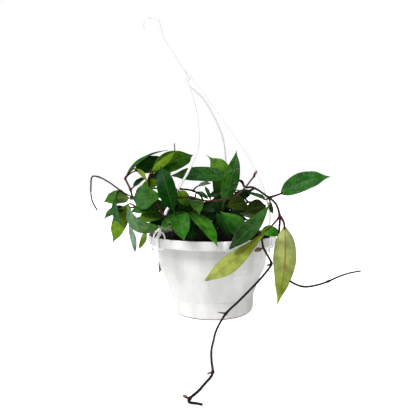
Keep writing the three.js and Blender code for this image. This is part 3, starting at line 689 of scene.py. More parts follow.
# %% Helpers for Geometry Nodes
def geometry_tree(name, **inputs):
    """A tree with named inputs of these kinds, what it is given, and each input's identifier."""
    tree = bpy.data.node_groups.new(name, "GeometryNodeTree")
    add = tree.interface.new_socket
    add("Geometry", in_out="INPUT", socket_type="NodeSocketGeometry")
    sockets = {}
    for title, kind in inputs.items():
        sockets[title] = add(title, in_out="INPUT", socket_type="NodeSocket" + kind).identifier
    add("Geometry", in_out="OUTPUT", socket_type="NodeSocketGeometry")
    return tree, node(tree, "NodeGroupInput").outputs, sockets


def worked(made, tree, sockets, **values):
    """The object as the tree makes it, with these values for its named inputs."""
    worker = made.modifiers.new(tree.name, "NODES")
    worker.node_group = tree
    for title, value in values.items():
        worker[sockets[title]] = value
    return plain_mesh(made)


# %% [markdown]
# One tree of nodes serves all the stems: the line becomes a curve, a circle is swept along it with
# the stored thickness, and small pale root nubs are scattered over it, as a climbing hoya
# grows them wherever it may touch a support. The seed keeps them in place from run to run.

# %% Geometry Nodes: bark with root nubs
STEM_SIDES = 12
NUB_RADIUS = 0.45
NUB_SIZES = (0.5, 1.1)
NUB_SPACING = 2.4
NUBS_PER_SQUARE_METRE = 9000.0


def stem_tree():
    tree, given, sockets = geometry_tree("grown stem", Sides="Int", Seed="Int", Bark="Material")
    circle = node(tree, "GeometryNodeCurvePrimitiveCircle", {"Resolution": given["Sides"], "Radius": 1.0})
    swept = node(tree, "GeometryNodeCurveToMesh", {
        "Curve": node(tree, "GeometryNodeMeshToCurve", {"Mesh": given["Geometry"]}),
        "Profile Curve": circle,
        "Scale": node(tree, "GeometryNodeInputNamedAttribute", {"Name": "thickness"}, data_type="FLOAT"),
        "Fill Caps": True,
    })
    spots = node(tree, "GeometryNodeDistributePointsOnFaces", {
        "Mesh": swept,
        "Distance Min": NUB_SPACING * MM,
        "Density Max": NUBS_PER_SQUARE_METRE,
        "Seed": given["Seed"],
    }, distribute_method="POISSON")
    shares = {2: NUB_SIZES[0], 3: NUB_SIZES[1], "Seed": given["Seed"]}
    sizes = node(tree, "FunctionNodeRandomValue", shares, data_type="FLOAT")
    nubs = node(tree, "GeometryNodeInstanceOnPoints", {
        "Points": spots,
        "Instance": node(tree, "GeometryNodeMeshIcoSphere", {"Radius": NUB_RADIUS * MM, "Subdivisions": 2}),
        "Scale": sizes.outputs[1],
    })
    both = node(tree, "GeometryNodeJoinGeometry")
    tree.links.new(swept.outputs[0], both.inputs[0])
    tree.links.new(nubs.outputs[0], both.inputs[0])
    real = node(tree, "GeometryNodeRealizeInstances", {"Geometry": both})
    smooth = node(tree, "GeometryNodeSetShadeSmooth", {"Geometry": real})
    dressed = node(tree, "GeometryNodeSetMaterial", {"Geometry": smooth, "Material": given["Bark"]})
    node(tree, "NodeGroupOutput", {"Geometry": dressed})
    return tree, sockets


stem_nodes = stem_tree()
print("stem tree:", len(stem_nodes[0].nodes), "nodes")


def stem_object(name, line, thick, skin, seed):
    """One stem as a plain mesh."""
    mesh = bpy.data.meshes.new(name)
    mesh.from_pydata([tuple(p) for p in line * MM], [(i, i + 1) for i in range(len(line) - 1)], [])
    mesh.attributes.new("thickness", "FLOAT", "POINT").data.foreach_set("value", thick * MM)
    return worked(shown(name, mesh), *stem_nodes, Sides=STEM_SIDES, Seed=seed, Bark=skin)


# %% [markdown]
# A vine is then written as a gardener would describe it: a rooted stem with its points, side
# stems, and leaves with their places and greens. This class keeps those, and finishing it makes
# one piece of leaves and one piece of bark that stand for the vine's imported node.

# %% A vine
STEM_DEPTHS = (-22, -8, 8)
FIRST_SEED = 11


def joined(name, parts):
    """Several meshes as one object. Materials that they share are kept once."""
    materials = []
    shape = bmesh.new()
    for part in parts:
        slots = list(part.data.materials)
        materials += [material for material in slots if material not in materials]
        before = len(shape.faces)
        shape.from_mesh(part.data)
        shape.faces.ensure_lookup_table()
        for face in shape.faces[before:]:
            face.material_index = materials.index(slots[face.material_index])
        bpy.data.objects.remove(part)
    mesh = bpy.data.meshes.new(name)
    shape.to_mesh(mesh)
    shape.free()
    for material in materials:
        mesh.materials.append(material)
    return shown(name, mesh)


class Vine:
    """The stems and leaves of one vine, until they are grown into its two pieces."""

    def __init__(self, name):
        self.name = name
        self.leaves = Leaves(name)
        self.stems = []

    def rooted(self, root, points, *size, **look):
        """A stem that stands in the potting mix at root and then follows its points."""
        self.stem([*[(*root, SOIL_TOP + depth) for depth in STEM_DEPTHS], *points], *size, **look)

    def stem(self, points, radius=STEM_RADIUS, skin=old_bark, joints=(), taper=0.3):
        line = smooth_line(points)
        title = f"{self.name}_stem_{len(self.stems)}"
        thick = stem_thickness(line, radius, joints, taper)
        self.stems.append(stem_object(title, line, thick, skin, FIRST_SEED + len(self.stems)))

    def leaf(self, *place, **look):
        add_blade(self.leaves, *place, **look)

    def grown(self):
        placed(self.leaves.piece(self.name + "_leaves"), "foliage", self.name)
        placed(joined(self.name + "_bark", self.stems), "vine_stem", self.name)


print("stems stand", -STEM_DEPTHS[0], "mm deep in the potting mix")


# %% [markdown]
# The vine at the far left climbs out of the basket and ends in a crown of three leaves. A broad leaf
# hangs at its fork, where a bare tendril branches off and loops out to the side, searching for
# something to wind around.

# %% Left vine
vine = Vine("vine_left")
fork, bend, crown = (-118, -45, 180), (-123, -41, 192), (-133, -31, 209)
vine.rooted([-50, -8], [(-58, -17, 140), (-76, -28, 158), (-96, -38, 169), fork, bend, crown],
            skin=green_bark, joints=[fork, bend, crown], taper=0.1)
vine.stem([fork, (-134, -52, 190), (-152, -60, 204), (-165, -66, 211), (-172, -69, 211),
           (-174, -70, 198), (-172, -73, 178), (-164, -75, 163)],
          TENDRIL_RADIUS, purple_bark, joints=[(-164, -65, 213)], taper=0.05)
vine.leaf(crown, (-131, -28, 214), (-73, 24, 257), 22, (-0.45, -0.3, 0.7), arch=8,
          top=("#245a12", "#2f6a14"), under="#3f7424", stalk="#4a2e1a")
vine.leaf(crown, (-120, -16, 221), (-68, 24, 236), 32, (-0.1, -0.9, 0.4),
          top=("#1a4a0b", "#0f3306"), fleck=0.1, stalk="#2e1714")
vine.leaf(crown, (-115, -34, 223), (-95, -52, 196), 11, (0.3, 0.7, 0.5), arch=4, twist=1,
          top="#6f9424", under=("#86a03a", "#5a8416"), rib=0.3, stalk="#4a2018")
vine.leaf(bend, (-120, -34, 196), (-107, -2, 211), 9, (0.2, -0.6, 0.8), arch=3,
          top="#1f4a14", stalk="#3a2416")
vine.leaf(fork, (-124, -50, 180), (-159, -60, 175), 25, (0, -0.8, 0.6), arch=4,
          top=("#729450", "#3c701c"), fleck=0.3, stalk="#4a1b22")
# This leaf's paler grey-green tip is a painted sheen
vine.leaf((-134, -52, 190), (-137, -59, 191), (-125, -95, 143), 20, (-0.95, -0.35, 0.3), arch=7, twist=-0.4,
          top=("#123c06", "#2c5a2c"), under="#123c06", rib=0.0, stalk="#4a5a22")
vine.leaf(fork, (-113, -70, 179), (-68, -78, 184), 36, (-0.15, -0.95, 0.2), arch=4, fold=0.1,
          top=("#376230", "#3a7220"), fleck=0.4, stalk="#3f6a22", drawn=0.55)
vine.grown()


# %% [markdown]
# A short stem and its reddish branch carry the leaves that droop over the left of the rim. Young
# leaves here are still lime green, older ones dark.

# %% Low left vine
vine = Vine("vine_left_low")
fork, node_high, node_low = (-78, -60, 158), (-110, -64, 166), (-105, -74, 152)
vine.rooted([-58, -38], [(-64, -50, 142), fork, (-96, -63, 163), node_high],
            skin=green_bark, joints=[fork, node_high])
vine.stem([fork, (-92, -66, 158), node_low], skin=young_bark, joints=[node_low])
vine.leaf(node_high, (-125, -59, 165), (-157, -68, 150), 16, (-0.2, -0.7, 0.7),
          top=("#0f2f08", "#2f6a1c"), stalk="#5a2620")
vine.leaf(node_high, (-123, -62, 171), (-143, -72, 117), 28, (-0.4, -0.8, 0.3), bow=-5,
          top=("#6d8c28", "#638619"), fleck=0.15, stalk="#4f3a24")
vine.leaf(fork, (-68, -60, 169), (-118, -72, 160), 25, (0, -0.8, 0.6),
          top=("#16400c", "#2a6414"), stalk="#4a1b22")
vine.leaf(fork, (-72, -64, 147), (-93, -80, 135), 17, (0, -0.8, 0.6), arch=3,
          top="#12340a", stalk="#3a1a16")
vine.leaf(fork, (-73, -60, 156), (-107, -82, 148), 22, (0.1, -0.8, 0.6), arch=4,
          top=("#2c4c0e", "#4f7a20"), fleck=0.1, stalk="#5a3024")
vine.leaf(node_low, (-116, -90, 142), (-108, -92, 104), 9, (-0.3, -0.8, 0.3), arch=3, bow=-4,
          top=("#9fb29c", "#4a7050"), fleck=0.1, stalk="#5f8a3a")
vine.leaf(node_low, (-94, -88, 136), (-102, -98, 111), 9, (0.3, 0.8, 0.2), arch=3,
          top="#5a7e1c", under=("#7a9a30", "#5c8018"), rib=0.2, stalk="#5f7a2a")
vine.grown()


# %% [markdown]
# The runner is a young red-brown vine that crosses the whole front of the plant and ends in a bud.

# %% Runner
vine = Vine("vine_runner")
bend, knot, bare_node = (-84, -67, 186), (-50, -72, 181), (-31, -78, 182)
pale_node, bud = (16, -87, 179), (58, -81, 212)
vine.rooted([-44, -52], [(-62, -68, 142), (-77, -76, 168), bend, (-70, -66, 185), knot, bare_node,
                         (-9, -84, 177), pale_node, (30, -87, 183), (45, -85, 196), (54, -82, 207), bud],
            RUNNER_RADIUS, young_bark, joints=[bend, knot, bare_node, pale_node, bud], taper=0.15)
vine.leaf(knot, (-51, -46, 190), (-36, -46, 167), 19, (0.2, -0.9, 0.2), arch=3,
          top=("#5c8a16", "#3c6a10"), fleck=0.1, stalk="#6a5a24")
for base, tip in (((58.5, -81, 213), (62, -80, 220)), ((57, -82, 213), (60, -82, 219))):
    vine.leaf((57, -81, 210), base, tip, 2.8, (0, -1, 0), arch=0, fold=0, top="#a07c72", under="#a07c72",
              fleck=0, rib=0, stalk="#5a2a26", ripple=0)
vine.grown()


# %% [markdown]
# At the front stand the dark leaf that hides the middle of the plant, a leaf that tips over the
# rim and a long one that curves to the left, paler and blue-grey towards its tip in a painted sheen.

# %% Front vine
vine = Vine("vine_front")
knot = (-48, -72, 153)
vine.rooted([-34, -60], [(-37, -64, 132), knot], skin=green_bark, joints=[knot])
vine.leaf(knot, (-55, -92, 165), (-75, -66, 226), 27, (-0.1, -0.9, -0.2), bow=2,
          top=("#063202", "#094004"), fleck=0.1, stalk="#2a4a16")
vine.leaf(knot, (-48, -82, 162), (-39, -112, 124), 27, (-0.1, -0.7, 0.7),
          top=("#1c5409", "#33701a"), fleck=0.35, stalk="#3a3a1a")
# Its pale blue-grey tip half is a painted sheen
vine.leaf(knot, (-74, -92, 141), (-117, -94, 171), 17, (0.2, -0.8, 0.5), arch=3, bow=-18, fold=0.1,
          top=("#46702a", "#6e926a"), fleck=0.7, stalk="#7a8a5a", stalk_radius=1.5)
vine.leaf(knot, (-62, -70, 154), (-72, -90, 133), 10, (0.2, -0.6, 0.7), arch=2,
          top=("#2f5c14", "#42802c"), stalk="#4a6a22")
vine.grown()


# %% [markdown]
# A short stem in the centre holds leaves that lean out over the potting mix, one of them past
# the rim. They catch the light and are the brightest greens.

# %% Centre vine
vine = Vine("vine_centre")
low, high = (-28, -58, 148), (-26, -46, 174)
vine.rooted([-18, -42], [(-22, -50, 132), low, (-28, -52, 162), high], skin=green_bark, joints=[low, high])
vine.leaf(low, (-34, -68, 160), (6, -114, 117), 24, (0.3, -0.6, 0.7), arch=7,
          top=("#3f7020", "#357812"), fleck=0.3, stalk="#4a3a1c")
vine.leaf(low, (-26, -68, 145), (-30, -92, 122), 18, (-0.1, -0.7, 0.6), arch=4, blunt=0.3,
          top="#0e360d", stalk="#2a2a14")
vine.leaf(high, (-31, -54, 177), (-19, -96, 158), 24, (0.2, -0.5, 0.8), arch=5,
          top=("#3f661e", "#2a5612", "across"), fleck=0.25, stalk="#3a5a1c", drawn=0.2)
vine.leaf(high, (-21, -38, 189), (-6, -44, 177), 7, (0, -0.8, 0.5), arch=2,
          top="#1f4a18", stalk="#241a12")
vine.leaf(high, (-3, -38, 178), (-12, -30, 198), 6, (0, -0.8, 0.5), arch=2,
          top="#1f4a18", stalk="#241a12")
vine.grown()


# %% [markdown]
# A dark stem runs through the middle of the plant to the upper left, where it carries the biggest
# leaf of the top and, turned away from the light, its paler pair. A bare stub rises behind them.

# %% Top vine
vine = Vine("vine_top")
end, side = (-96, -32, 194), (-30, -14, 190)
vine.rooted([-12, -6], [(-13, -6, 150), (-17, -8, 180), side, (-50, -17, 193), (-76, -24, 194), end],
            joints=[side, (-50, -17, 193), end])
vine.stem([(-88, -30, 194), (-92, -18, 206), (-89, -14, 218), (-71, -10, 240), (-60, -6, 253),
           (-60, -4, 265)], TENDRIL_RADIUS, stub_bark)
vine.leaf(end, (-88, -41, 219), (-31, 4, 247), 36, (0.1, -0.85, 0.5), arch=5,
          top=("#376206", "#1c4a04", "across"), fleck=0.2, stalk="#4a1b22")
vine.leaf(end, (-89, -50, 220), (-57, -26, 250), 13, (0.3, 0.9, -0.1), arch=1, fold=0.1,
          top="#5f8a1c", under=("#58800e", "#6c8c1e"), rib=0.2, stalk="#4a4016")
vine.leaf(side, (-22, -12, 198), (-2, -8, 202), 12, (0, 0.5, 0.8), arch=1,
          top="#7f9a68", under="#b4c6a0", rib=0.1, stalk="#3a2018")
vine.leaf(end, (-107, -36, 197), (-77, -44, 205), 13, (0.1, 0.9, 0.2), arch=2,
          top="#6a9a1c", under=("#4c7c10", "#64901c"), rib=0.2, stalk="#5a5a1c")
vine.leaf(end, (-100, -24, 207), (-64, -10, 218), 14, (0, -0.9, 0.4), arch=3,
          top="#0f2c08", fleck=0.1, stalk="#2e1714")
vine.grown()


# %% [markdown]
# Right of the middle one flecked leaf stands straight up on a stem of its own.

# %% Upright vine
vine = Vine("vine_upright")
knot = (16, -42, 166)
vine.rooted([8, -22], [(10, -28, 135), knot], skin=green_bark, joints=[knot])
# Its paler half across the blade is a painted highlight
vine.leaf(knot, (16, -42, 174), (36, -31, 251), 26, (-0.3, -0.9, 0.1), arch=5, bow=5, drawn=0.2,
          top=("#2c6014", "#123c08", "across"), fleck=1.0, stalk="#2c5a1c")
vine.grown()


# %% [markdown]
# Behind it the crown's long level leaf, well flecked, lies across the wide one.

# %% Crown vine
vine = Vine("vine_crown")
knot, low = (33, 7, 207), (26, 11, 158)
vine.rooted([22, 12], [(25, 11, 140), low, (31, 8, 190), knot], joints=[low, knot])
vine.leaf(knot, (28, 3, 212), (-64, -5, 214), 30, (0, -0.75, 0.66), arch=3, blunt=0.4, beak=0.1,
          top=("#2c621c", "#2a5424"), fleck=1.0, stalk="#2c5a1c")
vine.leaf(low, (10, 15, 172), (-10, 30, 250), 36, (0.1, -0.95, 0.2), arch=5, bow=16,
          top=("#3a6a10", "#5a8a28"), fleck=0.5, stalk="#2c5a1c", beak=0.75)
vine.grown()


# %% [markdown]
# Inside the plant a stem near the middle fills the space above the potting mix with dark leaves,
# whose near-black green is painted shade. The last seven only close the view between the others, so
# the imported model does without them.

# %% Inner vine
vine = Vine("vine_inner")
low, knot = (-7, 25, 140), (-6, 22, 158)
vine.rooted([-8, 26], [low, knot], joints=[low, knot])
forward = (0, -0.9, 0.4)
# Near-black green for the fill leaves, painted shade where the plant is deep in shadow
dark = dict(top="#10300a", under="#10300a", fleck=0.1, stalk="#1c120c")
green = dict(top="#24561a", fleck=0.4, stalk="#3a2418", arch=8)
for *place, look in [
    (knot, (-1, 10, 164), (26, -12, 172), 25, forward, dark),
    (knot, (-14, 14, 162), (-66, -6, 170), 28, forward, dark),
    (low, (-12, 12, 142), (-60, -4, 140), 26, forward, dark),
    (knot, (0, 32, 158), (36, 62, 170), 28, (0.2, 0.3, 0.9), green),
    (knot, (-14, 32, 158), (-48, 60, 168), 28, (-0.2, 0.3, 0.9), green),
    (low, (4, 30, 142), (62, 44, 140), 26, (0, -0.8, 0.6), dark),
    (low, (-18, 30, 142), (-74, 44, 140), 26, (0, -0.8, 0.6), dark),
    (knot, (4, 14, 170), (-24, 0, 134), 30, (0, -0.9, 0.3), dark),
    (knot, (-20, 24, 156), (-88, 8, 160), 28, (0, -0.9, 0.3), dark),
    (knot, (20, 4, 170), (11, 0, 127), 22, forward, dark),
    (knot, (37, -6, 191), (-10, -10, 180), 15, forward, dark),
    (knot, (60, -16, 190), (21, -24, 167), 17, forward, dark),
    (knot, (15, -20, 156), (1, -34, 129), 18, forward, dark),
    (knot, (21, -16, 170), (-12, -20, 157), 18, forward, dark),
    (knot, (31, 2, 166), (3, -6, 162), 20, forward, dark),
    (knot, (-71, -30, 158), (-80, -62, 137), 18, forward, dark),
]:
    vine.leaf(*place, **look)
vine.grown()


# %% [markdown]
# The arching vine is the plant's signature: a dark cane that rises, arches to the right, hangs
# down past the rim and then sets off sideways as a bare tendril. Two long leaves hang from it
# with their lime undersides to the front.

# %% Right arching vine
vine = Vine("vine_right_arch")
node_top, node_low = (80, -72, 181), (92, -91, 156)
hidden_node = (44, -38, 204)
vine.rooted([30, -16], [(30, -18, 150), (30, -22, 190), (37, -30, 206), hidden_node, (48, -43, 196),
                        (57, -50, 196), (64, -57, 193), (72, -64, 187), node_top, (88, -80, 173), node_low,
                        (92, -88, 138), (91, -84, 118), (91, -84, 98), (95, -92, 80), (104, -104, 69),
                        (122, -104, 61), (142, -100, 62), (159, -95, 66), (174, -90, 71), (191, -84, 75),
                        (210, -78, 77)],
            ARCH_RADIUS, joints=[hidden_node, node_top, node_low, (159, -95, 66)], taper=0.35)
vine.leaf(node_top, (95, -82, 187), (155, -110, 210), 29, (-0.2, -0.85, 0.45), arch=4, bow=-3,
          top=("#2a5e20", "#205614"), fleck=1.0, stalk="#451a1c", stalk_radius=1.9)
vine.leaf(node_top, (75, -62, 178), (46, 4, 187), 16, (0, -0.14, 1), arch=3,
          top="#1c4e10", under="#1c480e", rib=0.0, stalk="#3a2018")
# This leaf's paler base half is a painted sheen
vine.leaf(node_top, (77, -84, 169), (22, -118, 115), 26, (-0.1, -0.8, 0.5), arch=5, bow=-4, twist=0.5,
          top=("#3a662c", "#0a3004"), fleck=0.3, stalk="#6a7a52", slim=0.6, blunt=0.65, beak=0.1)
vine.leaf(node_top, (80, -78, 176), (84, -84, 158), 7, (-0.5, -0.8, 0), arch=1,
          top="#26380f", stalk="#2a1a12")
vine.leaf(node_low, (73, -103, 138), (-10, -136, 77), 25, (0.4, 0.85, -0.1), arch=4, bow=2,
          slim=0.7, blunt=0.55, beak=0.1, top="#2f6a1c", under=("#93a02e", "#acb95e"), rib=0.6,
          stalk="#5c2e30", stalk_radius=1.6)
vine.leaf(node_low, (97, -101, 142), (86, -112, 38), 32, (0.1, 0.95, 0), arch=3, bow=5, fold=0.25,
          top="#2f6a1c", under=("#a9b36c", "#7c9126"), stalk="#4a1820", stalk_radius=1.9, drawn=0.25)
vine.grown()


# %% [markdown]
# Between the arch and the potting mix sits a low stem with six leaves, some of them olive in the
# shade of the others.

# %% Low right vine
vine = Vine("vine_right_low")
low, knot, end = (24, -44, 140), (32, -48, 160), (52, -48, 174)
vine.rooted([22, -42], [low, knot, end], joints=[low, knot, end])
vine.leaf(low, (43, -78, 130), (9, -88, 163), 28, (0.1, -0.9, 0.3), arch=5,
          top=("#1c5412", "#3c7a22", "across"), fleck=0.3, stalk="#4a5a2a", drawn=0.4)
vine.leaf(low, (6, -64, 158), (24, -84, 123), 15, (0.1, -0.8, 0.5), arch=4,
          top=("#123c0c", "#0c300a"), stalk="#2a1a12")
vine.leaf(low, (30, -36, 158), (64, -16, 162), 20, (0, -0.7, 0.7), arch=4,
          top="#112e0a", stalk="#2a1a12")
vine.leaf(end, (50, -50, 172), (19, -72, 168), 24, (0, -0.9, 0.35), arch=4,
          top=("#243c0a", "#2e4208"), fleck=0.1, stalk="#3a2416")
vine.leaf(end, (77, -56, 168), (44, -82, 161), 24, (0, -0.9, 0.35), arch=4,
          top=("#262e06", "#1c3206"), fleck=0.15, stalk="#3a2416")
vine.leaf(end, (28, -28, 187), (-19, -46, 158), 13, (0, -0.9, 0.4), arch=3,
          top="#0f2c09", fleck=0.1, stalk="#2a1a12")
vine.grown()


# %% [markdown]
# The longest vine has dropped its leaves. It leans over the rim, runs down past the bowl and lies
# along the surface in front, with the dry scars and stubs where leaves have been.

# %% Floor vine
vine = Vine("vine_floor")
rest = STEM_RADIUS + GAP
crest, scrap, stub = (60, -78, 136), (70, -90, 112), (80, -97, 91)
node_low, node_flat, node_end = (18, -98, 22), (-2, -233, rest), (-24, -288, rest)
vine.rooted([42, -46], [(44, -51, 133), crest, (67, -86, 126), scrap, (78, -95, 97), stub, (70, -103, 78),
                        (50, -106, 57), (34, -104, 40), node_low, (9, -104, 10), (3, -118, rest + 1),
                        (0, -144, rest), (-3, -176, rest), (-3, -209, rest), node_flat, (-4, -244, rest),
                        (-9, -256, rest), (-16, -273, rest), node_end, (-24, -294, rest), (-17, -296, rest),
                        (-12, -298, rest)],
            joints=[crest, stub, node_low, node_flat, node_end], taper=0.25)
vine.leaf(crest, (68, -77, 132), (98, -70, 128), 20, (0.1, -0.7, 0.7), arch=4,
          top=("#3f8a16", "#357c18"), fleck=0.2, stalk="#3a2416")
dry = dict(top="#85705e", under="#85705e", fleck=0, rib=0, stalk="#4a2c20", ripple=0.2, arch=0.5, fold=0)
for root, tip, width in [
    (node_low, (6, -103, 25), 2),
    (stub, (73, -99, 88), 3),
    (scrap, (56, -97, 108), 7),
    (node_flat, (-9, -243, rest + 2), 2),
    (node_end, (-31, -287, rest + 3), 3),
]:
    start = np.array(root) + 0.2 * (np.array(tip) - np.array(root))
    vine.leaf(root, start, tip, width, (0, -0.7, 0.7), **dry)
vine.grown()


# %% [markdown]
# The photograph doesn't show the back. Two vines there follow one rule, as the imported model's do:
# a pair of leaves at each node, drooping more towards the tip. Each leaf's reach, droop, spread and
# width vary a little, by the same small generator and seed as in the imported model.

# %% Back vines
NUMBERS = 2 ** 32
BACK_REACH = (62, 78)
BACK_DROOP = (-0.1, 0.95)
BACK_PLAY = (-0.08, 0.08)
BACK_SPREAD = (0.3, 0.45)
BACK_WIDTH = (24, 30)
BACK_GREENS = ["#1f5216", "#2a6a1c", "#357a22", "#245a20", "#2f6c1a"]
UPWARD = np.array([0, 0, 1.0])


def repeatable(seed):
    """Numbers between two limits, the same each run."""
    state = [seed]

    def draw(low, high):
        state[0] = (state[0] * 1664525 + 1013904223) % NUMBERS
        return low + (high - low) * state[0] / NUMBERS

    return draw


def vine_back(name, root, degrees, route, seed):
    vine = Vine(name)
    draw = repeatable(seed)
    azimuth = math.radians(degrees)
    out = np.array([math.sin(azimuth), -math.cos(azimuth), 0])
    across = np.array([math.cos(azimuth), math.sin(azimuth), 0])
    points = [out * distance + UPWARD * height for distance, height in route]
    vine.rooted(root, points, joints=points)
    for index, (distance, height) in enumerate(route):
        for hand in (-1, 1):
            reach = draw(*BACK_REACH)
            droop = BACK_DROOP[0] + BACK_DROOP[1] * index / (len(route) - 1) + draw(*BACK_PLAY)
            start = out * (distance + 4) + across * (hand * 7) + UPWARD * (height + 3)
            end = start + across * (hand * reach * draw(*BACK_SPREAD)) + out * (reach * 0.5)
            end = end - UPWARD * (reach * droop)
            green = BACK_GREENS[(2 * index + (hand > 0)) % len(BACK_GREENS)]
            vine.leaf(points[index], start, end, draw(*BACK_WIDTH), out * 0.6 + UPWARD * 0.8,
                      top=green, fleck=0.6, stalk="#4a2420")
    vine.grown()


vine_back("vine_back_left", [-34, 46], 206, [[76, 138], [96, 146], [114, 127], [121, 89]], 11)
vine_back("vine_back_right", [36, 46], 155, [[78, 134], [99, 141], [114, 122], [119, 90]], 13)


# %% [markdown]
# Basket and saucer are round, so each is a profile turned about the axis. The profile repeats the
# packed one, and every corner is rounded by an arc, as a mould's are. Spinning a polyline with a
# few hundred points gives clean quads and lets the light run smoothly over the wall.

# %% Turned walls with rounded corners
AROUND = 160
CORNER_STEPS = 4


def rounded(profile, radius=0.7):
    """A closed profile of [radius, height] points with each corner off the axis cut to an arc."""
    smooth = []
    for i, corner in enumerate(profile):
        corner = np.array(corner, float)
        if corner[0] < 1e-6:
            smooth.append(corner)
            continue
        before = np.array(profile[i - 1], float) - corner
        after = np.array(profile[(i + 1) % len(profile)], float) - corner
        cut = min(radius, 0.45 * np.linalg.norm(before), 0.45 * np.linalg.norm(after))
        start, end = corner + unit(before) * cut, corner + unit(after) * cut
        for step in range(CORNER_STEPS + 1):
            t = step / CORNER_STEPS
            smooth.append((1 - t) ** 2 * start + 2 * t * (1 - t) * corner + t * t * end)
    return smooth


def turned(name, profile, materials):
    """A profile that starts and ends on the axis, turned into a closed body."""
    points, faces = [], []
    length = len(profile)
    for step in range(AROUND):
        angle = 2 * math.pi * step / AROUND
        points += [(radius * math.cos(angle), radius * math.sin(angle), height) for radius, height in profile]
        here, there = step * length, (step + 1) % AROUND * length
        faces += [(here + i, there + i, there + i + 1, here + i + 1) for i in range(length - 1)]
    return cleaned(mesh_object(name, points, faces, materials))


print("turned walls have", AROUND, "sides")


# %% [markdown]
# The moulded lug, the drain holes and the hook need small solids and exact cuts. Each solid is made
# in its place by bmesh, and Boolean modifiers with the exact solver add or cut it. Edges that are
# sharper than a rounded mould's are then kept sharp in the shading.

# %% Small solids and exact cuts
BALL_AROUND = 32
BALL_RINGS = 20
ROD_SIDES = 40
SHARP_EDGE = math.radians(38)


def from_shape(name, shape, material):
    mesh = bpy.data.meshes.new(name)
    shape.to_mesh(mesh)
    shape.free()
    mesh.materials.append(material)
    return shown(name, mesh)


def ball(name, half_sizes, centre, material):
    """An egg with three half sizes, closed."""
    shape = bmesh.new()
    bmesh.ops.create_uvsphere(shape, u_segments=BALL_AROUND, v_segments=BALL_RINGS, radius=1)
    bmesh.ops.scale(shape, vec=Vector(half_sizes) * MM, verts=shape.verts)
    bmesh.ops.translate(shape, vec=Vector(centre) * MM, verts=shape.verts)
    return from_shape(name, shape, material)


def cylinder(name, start, end, radius, material):
    """A round rod between two points, closed."""
    start, end = Vector(start) * MM, Vector(end) * MM
    shape = bmesh.new()
    turn = (end - start).to_track_quat("Z", "Y").to_matrix().to_4x4()
    place = Matrix.Translation((start + end) / 2) @ turn
    bmesh.ops.create_cone(shape, cap_ends=True, segments=ROD_SIDES, radius1=radius * MM, radius2=radius * MM,
                          depth=(end - start).length, matrix=place)
    return from_shape(name, shape, material)


def combined(made, others, way):
    """Adds the others to the object, or cuts them from it, exactly."""
    for other in others:
        cutter = made.modifiers.new(other.name, "BOOLEAN")
        cutter.operation = way
        cutter.solver = "EXACT"
        cutter.object = other
    plain_mesh(made)
    for other in others:
        bpy.data.objects.remove(other)
    made.data.shade_smooth()
    made.data.set_sharp_from_angle(angle=SHARP_EDGE)


print("small solids: balls of", BALL_AROUND, "by", BALL_RINGS, "and rods of", ROD_SIDES, "sides")


# %% [markdown]
# The basket is a thin wall that narrows in soft steps from its wide lip to the foot, which stands in
# the saucer. Its profile runs up the outside and down the inside. A small lug is moulded on the front
# of the lip, and six drain holes go through its floor.

# %% Basket
LIP_FOOT = RIM_TOP - LIP_HEIGHT
FLOOR_FOOT = 2 + GAP
FLOOR_TOP = FLOOR_FOOT + 2
LEDGE = SAUCER_HEIGHT + GAP
LUG_AZIMUTH = math.radians(10)
LUG_SIZE = (5.5, 2.4, 7)
LUG_OUT = 0.8
DRAINS = 6
DRAIN_CIRCLE = 44
DRAIN_RADIUS = 4
# The outside of the bowl above its foot: [radius, height]
BOWL = [[72.6, 45], [76.6, 55.5], [83, 68.5], [85.2, 77], [86.5, 92]]


def inset(by, lift):
    """The bowl's profile inside its wall."""
    return [[radius - by, height + lift] for radius, height in BOWL]


basket = turned("basket", rounded([
    [0, FLOOR_FOOT],
    [SEAT_RADIUS - 3.6, FLOOR_FOOT],
    [SEAT_RADIUS - 1.8, 4.2],
    [SEAT_RADIUS - 0.4, 8.2],
    [SEAT_RADIUS, LEDGE],
    [FOOT_RADIUS, LEDGE],
    [FOOT_RADIUS + 0.07, LEDGE + 0.2],
    *BOWL,
    [NECK_RADIUS, 92.6],
    [NECK_RADIUS + 0.6, LIP_FOOT],
    [RIM_RADIUS - 0.8, LIP_FOOT],
    [RIM_RADIUS, LIP_FOOT + 1.5],
    [RIM_RADIUS, RIM_TOP - 1],
    [RIM_RADIUS - 0.9, RIM_TOP],
    [RIM_RADIUS - WALL, RIM_TOP - 1],
    [RIM_RADIUS - WALL, LIP_FOOT + WALL],
    [NECK_RADIUS + 0.6 - WALL, LIP_FOOT + WALL],
    [NECK_RADIUS - WALL, 93.2],
    *reversed(inset(WALL, 0.5)),
    [FOOT_RADIUS - 1.2, LEDGE + WALL],
    [SEAT_RADIUS - WALL, LEDGE + WALL],
    [SEAT_RADIUS - 2.2, 8.6],
    [SEAT_RADIUS - 4.3, FLOOR_TOP],
    [0, FLOOR_TOP],
]), [basket_white])


def on_circle(radius, angle, height):
    """A point by its distance and angle about the basket's axis, counted from +X."""
    return radius * math.cos(angle), radius * math.sin(angle), height


lug_place = on_circle(RIM_RADIUS + LUG_OUT, LUG_AZIMUTH - math.pi / 2, RIM_TOP - LUG_SIZE[2])
combined(basket, [ball("lug", LUG_SIZE, lug_place, basket_white)], "UNION")
drills = []
for i in range(DRAINS):
    low, high = [on_circle(DRAIN_CIRCLE, 2 * math.pi * i / DRAINS, height) for height in (1, 8)]
    drills.append(cylinder(f"drain_{i}", low, high, DRAIN_RADIUS, basket_white))
combined(basket, drills, "DIFFERENCE")
placed(basket, "basket_plastic", "pot")


# %% [markdown]
# The saucer is a plain tray whose rim reaches up to the basket's ledge, so that only a fine seam
# shows between them. Its underside is what the whole plant stands on.

